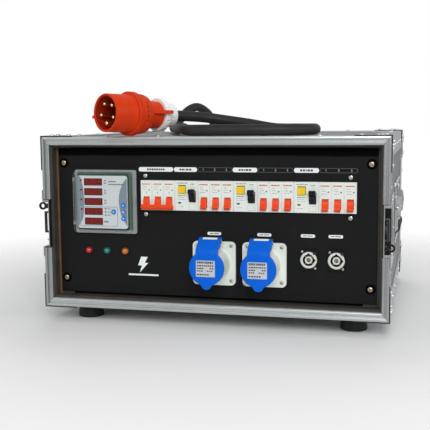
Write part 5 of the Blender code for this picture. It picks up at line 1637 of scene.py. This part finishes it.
def socket_lid(number, x):
    """Crowned disc with neck and thumb tab, its hinge pin, gasket and sticker."""
    body = f"socket_lid_{number}"
    piece(f"lid_pin_{number}", lathe(LID_PIN, sideways(x, HINGE_Y, LID_HINGE_Z), 20),
          'chrome', body, smooth=True)
    lid_x = x - 0.4
    disc = lathe(LID_DISC, facing(lid_x, SOCKET_Z), 72)
    neck = prism(lid_neck(), 'x', x - 16.2, x + 16.2)
    tab = prism(LID_TAB, 'y', -RIM - 5.9, -RIM - 2.0,
                matrix=Matrix.Translation((lid_x, 0, SOCKET_Z - LID_R + 1.1)))
    notch = box(x - 11.4, x + 11.4, HINGE_Y - 6.6, HINGE_Y + 20, SOCKET_TOP - 2,
                LID_HINGE_Z + 20)
    piece(f"lid_{number}", carve(disc, add=[neck, tab], cut=[notch]), 'blue', body,
          bevel=0.55, seg=3, replaces=(body,), slot="lid_blue", angle=32)
    piece(f"lid_seal_{number}", hoop(LID_SEAL, facing(x, SOCKET_Z), 48), 'black', body,
          smooth=True)
    label_x, label_z = x - 1.3, SOCKET_Z - 0.4
    piece(f"lid_sticker_{number}", prism(rounded(label_x, label_z, 28.0, 23.7, 1.2, 4), 'y',
                                         LID_Y - 0.18, LID_Y + 0.1), 'sticker', body)
    for k, (rise, height, words, x0, x1) in enumerate(LID_PRINT, 1):
        print_line(f"lid_print_{number}_{k}", label_x + x0, label_x + x1, label_z + rise,
                   height, words, 'black_ink', (LID_Y - 0.24, LID_Y - 0.12), body)
    border = ring_prism(rounded(label_x, label_z, 26.6, 22.3, 0.8, 3),
                        rounded(label_x, label_z, 26.0, 21.7, 0.5, 3), 'y', LID_Y - 0.23,
                        LID_Y - 0.1)
    piece(f"lid_frame_{number}", border, 'pale_ink', body)


for number, x in enumerate(SOCKETS, 1):
    socket_base(number, x)
    socket_lid(number, x)

# ===========================================================================
# Round locking outlets
# ===========================================================================
OUTLETS = (144.6, 184.3)        # x of each
OUTLET_Z = up(-49.3)
GROOVE_R0, GROOVE_R1 = 5.5, 8.35    # ring groove between core and ring
# radius, distance in front of y = 0
OUTLET_RING = [(GROOVE_R1, FRONT - 8), (GROOVE_R1, FRONT + 3.6), (8.8, FRONT + 4.0),
               (10.9, FRONT + 4.0), (11.9, FRONT + 3.4), (12.15, FRONT + 2.4),
               (11.9, FRONT + 0.2), (11.5, FRONT - 25), (11.5, FRONT - 26),
               (GROOVE_R1, FRONT - 26)]
OUTLET_CORE = [(0, FRONT - 26), (GROOVE_R0, FRONT - 26), (GROOVE_R0, FRONT + 2.7),
               (5.2, FRONT + 3.2), (3.4, FRONT + 3.2), (3.1, FRONT + 2.8), (3.1, FRONT - 5),
               (0, FRONT - 5)]
OUTLET_WELL = [(GROOVE_R0, FRONT - 7.8), (GROOVE_R1, FRONT - 7.8), (GROOVE_R1, FRONT - 8.4),
               (GROOVE_R0, FRONT - 8.4)]
OUTLET_HUB = [(0, FRONT - 5), (2.3, FRONT - 5), (2.3, FRONT + 0.6), (1.9, FRONT + 1.1),
              (0, FRONT + 1.1)]
OUTLET_SLEEVE = [(8.36, FRONT + 3.3), (7.95, FRONT + 3.3), (7.95, FRONT - 7.8),
                 (8.36, FRONT - 7.8)]
# notch in the ring before it is turned to its place
RING_NOTCH = [(-3.4, 6.6), (3.4, 6.6), (1.7, 8.9), (0.35, 10.3), (-0.35, 10.3), (-1.7, 8.9)]


def outlet(number, x):
    middle = facing(x, OUTLET_Z)
    flange = carve(prism(rounded(x, OUTLET_Z, 26.0, 31.0, 4, 6), 'y', PANEL_Y - 2.3,
                         PANEL_Y - GAP),
                   cut=[prism(circle(x, OUTLET_Z, 11.6, 40), 'y', PANEL_Y - 9, PANEL_Y + 3)])
    piece(f"outlet_flange_{number}", flange, 'flange_black', bevel=0.35, seg=3,
          replaces=(f"locking_outlet_{number}",), slot="socket_grey")
    notches = []
    for degrees in (0, 90):
        lie = (Matrix.Translation((x, 0, OUTLET_Z))
               @ Matrix.Rotation(math.radians(degrees), 4, 'Y'))
        notches.append(prism(RING_NOTCH, 'y', PANEL_Y - 6, PANEL_Y + 7, matrix=lie))
    piece(f"outlet_ring_{number}", carve(hoop(OUTLET_RING, middle, 48), cut=notches),
          'outlet', bevel=0.25, seg=3, angle=30)
    piece(f"outlet_core_{number}", lathe(OUTLET_CORE, middle, 40), 'outlet', smooth=True)
    # near-black ring on the groove's floor: painted shade
    piece(f"outlet_well_{number}", hoop(OUTLET_WELL, middle, 32), 'recess', smooth=True)
    piece(f"outlet_hub_{number}", lathe(OUTLET_HUB, middle, 28), 'beige', smooth=True)
    for k in range(4):
        angle = math.radians(45 + 90 * k)
        contact = circle(x + 6.9 * math.cos(angle), OUTLET_Z + 6.9 * math.sin(angle), 0.6, 12)
        piece(f"outlet_contact_{number}_{k + 1}",
              prism(contact, 'y', PANEL_Y - 0.4, PANEL_Y + 7.6), 'brass_pin', smooth=True)
    # near-black sleeve that lines the ring groove: painted shade of the deep groove
    piece(f"outlet_sleeve_{number}", hoop(OUTLET_SLEEVE, middle, 40), 'recess', smooth=True)
    for k, (dx, dz) in enumerate(((-9.5, 12.0), (9.5, -12.0)), 1):
        fixing(f"outlet_screw_{number}_{k}", SMALL_SCREW,
               aim(x + dx, PANEL_Y - 2.25, OUTLET_Z + dz, '-y')
               @ turn(25 * k + 30 * number) @ Matrix.Scale(0.78, 4), 'rusty')
    piece(f"outlet_latch_{number}", prism(rounded(x + 8.6, OUTLET_Z + 10.2, 5.0, 3.6, 1.0, 4),
                                          'y', PANEL_Y - 4.4, PANEL_Y - 2.0),
          'black', bevel=0.3)


for number, x in enumerate(OUTLETS, 1):
    outlet(number, x)

# ===========================================================================
# Cable inlet on the rear
# ===========================================================================
CABLE_R = 8.25
INLET_X, INLET_Z = -112.0, 130.0
# radius, world y
GLAND_DOME = [(9.4, 206.0), (14.4, 206.0), (14.6, 207.0), (14.4, 211.5), (13.0, 215.0),
              (10.6, 217.6), (9.0, 218.2), (8.7, 217.4), (8.7, 206.0)]

cad("cable_inlet", 'zinc', 0.5, 3)
for dx, dz in ((-45, -45), (-45, 45), (0, -45), (0, 45), (45, -45), (45, 45), (-45, 0), (45, 0)):
    rivet(INLET_X + dx, BOARD_Y + 1.8, INLET_Z - 5 + dz, '+y', SMALL_RIVET)
piece("gland_locknut", carve(prism(circle(INLET_X, INLET_Z, 16.2, 6), 'y', 199.4, 206.4),
                             cut=[prism(circle(INLET_X, INLET_Z, 9.2, 32), 'y', 190, 220)]),
      'black', bevel=0.7, seg=3)
piece("gland_dome", hoop(GLAND_DOME, rearward(INLET_X, 0, INLET_Z), 40), 'black', smooth=True)

# ===========================================================================
# Plug lying on top. In its own frame +Z points out of its open end.
# ===========================================================================
PLUG_DIR = Vector((-0.512, -0.859, 0.033)).normalized()
PLUG_AT = Vector((-124.0, -212.0, 317.4))
plug_across = Vector((0, 0, 1)).cross(PLUG_DIR).normalized()
plug_over = PLUG_DIR.cross(plug_across)
PLUG = Matrix([(plug_across[i], plug_over[i], PLUG_DIR[i], PLUG_AT[i]) for i in range(3)]
              + [(0, 0, 0, 1)])

# radius, distance along the plug
PLUG_SHELL = [
    (24.6, 7.0), (24.6, 43.8), (24.9, 44.6), (25.6, 45.0), (26.9, 45.0), (27.7, 44.6),
    (28.0, 43.8), (28.25, 20.0), (28.4, 6.2), (28.9, 5.2), (32.0, 4.6), (32.8, 3.8),
    (32.8, 1.4), (31.6, 0.9), (31.6, 0.0), (32.8, -0.5), (32.8, -4.4), (32.2, -5.6),
    (31.0, -6.2), (30.3, -6.6), (30.3, -7.6), (30.9, -8.2), (30.4, -15.0), (29.6, -20.0),
    (28.6, -23.4), (26.2, -26.8), (23.0, -29.2), (21.2, -31.0), (20.8, -40.0),
    (20.4, -52.0), (10.0, -52.0), (10.0, 7.0)]
PLUG_INSERT = [(0, 8.0), (24.55, 8.0), (24.55, 6.0), (0, 6.0)]
PLUG_CORE_RING = [(9.6, 7.9), (9.6, 10.6), (10.4, 11.0), (19.0, 11.0), (19.8, 10.6),
                  (19.8, 7.9)]
# thin darker sheet over the mouth's inner wall: painted shade
PLUG_LINING = [(24.62, 7.9), (24.62, 43.0), (24.3, 43.4), (24.1, 42.6), (24.1, 7.9)]
GLAND_NUT = [
    (24.3, -52.3), (25.1, -52.9), (25.5, -54.0), (25.5, -61.0), (24.9, -62.4),
    (24.0, -63.0), (20.2, -63.8), (19.5, -64.8), (19.3, -67.0), (18.9, -74.0),
    (18.5, -80.0), (17.8, -82.2), (16.5, -83.0), (8.6, -83.0), (8.6, -52.3)]
CABLE_SEAL = [(8.3, -82.9), (10.6, -82.9), (10.2, -84.6), (8.3, -85.2)]
# fin behind the collar: distance from the axis, distance along
PLUG_FIN = [(18.5, -25), (23, -25), (26.6, -37), (29.8, -48), (31.4, -59.8), (30.6, -61),
            (27.6, -61), (26.8, -59.8), (26.0, -50), (22.6, -40), (18.5, -34)]
PIN_RADII = (3.0, 2.5, 2.5, 2.5, 2.5)
PIN_RING = 15.0


def plug_shell():
    rib = prism(rounded(-30.0, -6.0, 6.8, 4.4, 1.4, 4), 'z', 2, 43.2, matrix=PLUG)
    fin = prism(PLUG_FIN, 'y', 1.4, 6.6, matrix=PLUG)
    piece("plug_shell", carve(hoop(PLUG_SHELL, PLUG, 72), add=[rib, fin]), 'plug', bevel=0.3,
          replaces=("plug_body",), slot="plug_red", angle=32)
    piece("plug_insert", lathe(PLUG_INSERT, PLUG, 56), 'plug_in', smooth=True)
    piece("plug_core_ring", hoop(PLUG_CORE_RING, PLUG, 56), 'plug_in', smooth=True)
    piece("plug_lining", hoop(PLUG_LINING, PLUG, 64), 'plug_in', smooth=True)


def plug_pin(number, radius):
    angle = math.radians(263 + 72 * (number - 1))
    at = PLUG @ Matrix.Translation((PIN_RING * math.cos(angle), PIN_RING * math.sin(angle), 0))
    pin = [(0, 8.5), (radius, 8.5), (radius, 40.4), (radius * 0.86, 41.3),
           (radius * 0.6, 41.8), (0, 42.0)]
    piece(f"plug_pin_{number}", lathe(pin, at, 28), 'brass_pin', smooth=True)
    collar = [(radius + 0.05, 10.8), (radius + 1.1, 10.8), (radius + 1.1, 12.6),
              (radius + 0.6, 13.0), (radius + 0.05, 13.0)]
    piece(f"plug_pin_collar_{number}", hoop(collar, at, 24), 'plug_in', smooth=True)


def plug_ticks():
    """Short and long tick marks by turns round the shell, behind the collar."""
    for k, degrees in enumerate((8, 20, 32, -6, -18, 60, 92), 1):
        at = PLUG @ turn(degrees) @ Matrix.Translation((30.55, 0, -11.5))
        half = 0.9 if k % 2 else 1.9
        piece(f"plug_tick_{k}", prism(rect(-0.35, 0.35, -half, half), 'z', -1.6, 1.6,
                                      matrix=at), 'plug_in')


def gland_nut():
    """Nut with flutes round its wide part and its narrow part."""
    cuts = []
    # flutes, share of a pitch turned, ring radius, flute radius, seg start and end
    for count, shift, ring, radius, start, end in ((16, 0, 26.6, 2.0, -62.2, -54.2),
                                                   (12, 0.5, 20.6, 2.3, -81.0, -66.5)):
        for k in range(count):
            angle = 2 * math.pi * (k + shift) / count
            cuts.append(prism(circle(ring * math.cos(angle), ring * math.sin(angle), radius,
                                     12), 'z', start, end, matrix=PLUG))
    piece("gland_nut", carve(hoop(GLAND_NUT, PLUG, 72), cut=cuts), 'nut', bevel=0.35,
          replaces=("plug_gland_nut",), slot="nut_white", angle=32)


plug_shell()
for number, radius in enumerate(PIN_RADII, 1):
    plug_pin(number, radius)
plug_ticks()
gland_nut()

# ===========================================================================
# Supply lead: out of the inlet, up the rear, looped over the top into the plug
# ===========================================================================
# The lead reaches as far behind y = 0 as the plug's mouth reaches in front of it.
plug_front = min((PLUG @ Vector((radius * math.cos(angle), radius * math.sin(angle), t))).y
                 for radius, t in ((28.0, 44.0), (27.2, 45.0))
                 for angle in (2 * math.pi * k / 20 for k in range(20)))
REAR_Y = -plug_front - CABLE_R
BEND = 40.0
DECK = TOP_Z + GAP + CABLE_R    # centre height of cable lying on the case
OVER_TOP = (
    (-116, 254.0, 303), (-126, 243.0, 322), (-141, 226, 332.5), (-155, 207, 325),
    (-164, 186, 308), (-167, 162, 296), (-161, 130, DECK), (-145, 85, DECK),
    (-128, 40, DECK), (-111, -10, DECK), (-94, -60, DECK), (-77, -103, DECK + 1),
    (-60, -144, DECK + 2), (-50, -178, DECK + 1.5), (-35, -205, DECK), (-8, -216, DECK),
    (35, -217, DECK), (80, -216, DECK), (115, -208, DECK), (139, -188, DECK),
    (146, -160, DECK), (137, -132, DECK), (112, -110, DECK), (75, -98, DECK + 0.8),
    (32, -91, DECK + 8), (-8, -90, DECK + 14), (-38, -97, DECK + 18.5))

lead = [Vector((INLET_X, 194.0, INLET_Z)), Vector((INLET_X, 206.0, INLET_Z))]
for k in range(7):
    angle = math.radians(15 * k)
    lead.append(Vector((INLET_X, REAR_Y - BEND + BEND * math.sin(angle),
                        INLET_Z + BEND - BEND * math.cos(angle))))
lead += [Vector((INLET_X, REAR_Y, 200)), Vector((INLET_X, REAR_Y, 240)),
         Vector((INLET_X - 1, REAR_Y, 280))]
lead += [Vector(p) for p in OVER_TOP]
tail = PLUG_AT - PLUG_DIR * 83.0
lead += [tail - PLUG_DIR * 14.0, tail, tail + PLUG_DIR * 22.0]
route = [Vector((p.x, min(p.y, REAR_Y), p.z)) for p in spline(lead, 6.0)]
piece("supply_lead", sweep(route, CABLE_R, 28), 'cable', smooth=True,
      replaces=("supply_cable",), slot="cable_rubber")
piece("cable_seal", hoop(CABLE_SEAL, PLUG, 36), 'black', smooth=True)

# ===========================================================================
# Camera
# ===========================================================================
CAMERA_AT = (0.30758, -1.38513, 0.30898)
HEADING, PITCH, ROLL = -0.25135, -0.11558, -0.00874     # radians; heading is from +Y


def add_camera():
    data = bpy.data.cameras.new("camera")
    data.lens = 69.44
    data.sensor_width = 36.0
    data.clip_start = 0.05
    data.clip_end = 50.0
    camera = bpy.data.objects.new("camera", data)
    forward = Vector((math.sin(HEADING) * math.cos(PITCH),
                      math.cos(HEADING) * math.cos(PITCH), math.sin(PITCH)))
    level = Vector((math.cos(HEADING), -math.sin(HEADING), 0))
    upright = level.cross(forward)
    camera_x = level * math.cos(ROLL) + upright * math.sin(ROLL)
    camera_y = -level * math.sin(ROLL) + upright * math.cos(ROLL)
    rotation = Matrix((camera_x, camera_y, -forward)).transposed()
    camera.matrix_world = Matrix.Translation(CAMERA_AT) @ rotation.to_4x4()
    scene.collection.objects.link(camera)
    scene.camera = camera


# ===========================================================================
# Floor, world and lights
# ===========================================================================


def floor_material():
    """White floor that thins out into the surround, so that there is no horizon line."""
    shader = Shader("studio_floor")
    shader.finish({'Base Color': shader.mix(shader.noise(scale=3.0), (0.90, 0.90, 0.90),
                                            (0.92, 0.92, 0.92)),
                   'Roughness': 0.85, 'Specular IOR Level': 0.2})
    reach = shader.add('VectorMath', {0: shader.coords}, operation='LENGTH').outputs['Value']
    fade = shader.remap(reach, to=(0.0, 1.0), span=(0.42, 0.95))
    thin = shader.add('BsdfTransparent').outputs[0]
    shader.feed(shader.output, {0: shader.blend(fade, shader.surface.outputs[0], thin)})
    return shader.material


def add_floor():
    material = floor_material()
    grid = bmesh.new()
    bmesh.ops.create_grid(grid, x_segments=1, y_segments=1, size=6.0)
    mesh = bpy.data.meshes.new("studio_floor")
    grid.to_mesh(mesh)
    grid.free()
    mesh.materials.append(material)
    floor = bpy.data.objects.new("studio_floor", mesh)
    scene.collection.objects.link(floor)


def add_world():
    """Dim surround for lighting, brighter in reflections, white to the camera."""
    world = bpy.data.worlds.new("studio")
    scene.world = world
    nodes = Nodes(world)

    def background(colour, strength):
        return nodes.add('Background', {'Color': colour, 'Strength': strength}).outputs[0]

    rays = nodes.add('LightPath').outputs
    surround = background(colour=(0.97, 0.985, 1.0), strength=0.20)
    surround = nodes.blend(rays['Is Glossy Ray'], surround,
                           background(colour=(0.98, 0.99, 1.0), strength=0.52))
    surround = nodes.blend(rays['Is Camera Ray'], surround,
                           background(colour=(1.0, 1.0, 1.0), strength=1.0))
    nodes.add('OutputWorld', {0: surround})


# name, place, height aimed at on the z axis, size, watts, seen in reflections
LIGHTS = (
    ("key", (0.75, -2.55, 1.5), 0.18, (1.5, 1.2), 42, True),
    ("fill", (-2.1, -1.7, 1.0), 0.15, (1.4, 1.6), 9, True),
    ("side", (2.3, -0.6, 0.9), 0.15, (1.4, 1.4), 12, True),
    ("top", (0.1, 0.3, 2.4), 0.2, (2.2, 2.0), 19, False),
    ("back", (-0.6, 2.4, 1.6), 0.2, (2.4, 1.2), 14, False),
)


def add_light(name, at, target_z, size, watts, glossy):
    data = bpy.data.lights.new(name, 'AREA')
    data.shape = 'RECTANGLE'
    data.size, data.size_y = size
    data.energy = watts
    light = bpy.data.objects.new(name, data)
    light.location = at
    light.rotation_mode = 'QUATERNION'
    aim_line = Vector((0, 0, target_z)) - Vector(at)
    light.rotation_quaternion = aim_line.to_track_quat('-Z', 'Y')
    light.visible_glossy = glossy
    scene.collection.objects.link(light)


add_camera()
add_floor()
add_world()
for light_row in LIGHTS:
    add_light(*light_row)

scene.view_settings.view_transform = 'Standard'
scene.view_settings.look = 'None'
scene.view_settings.exposure = 0.0
scene.view_settings.gamma = 1.0

# Merge the points that a rounded edge brings together, so no face is left without area.
for name in ("socket_flange_1", "socket_flange_2", "lid_1", "lid_2", "plug_shell"):
    merge = bpy.data.objects[name].modifiers.new("Merge", 'WELD')
    merge.merge_threshold = 4e-6
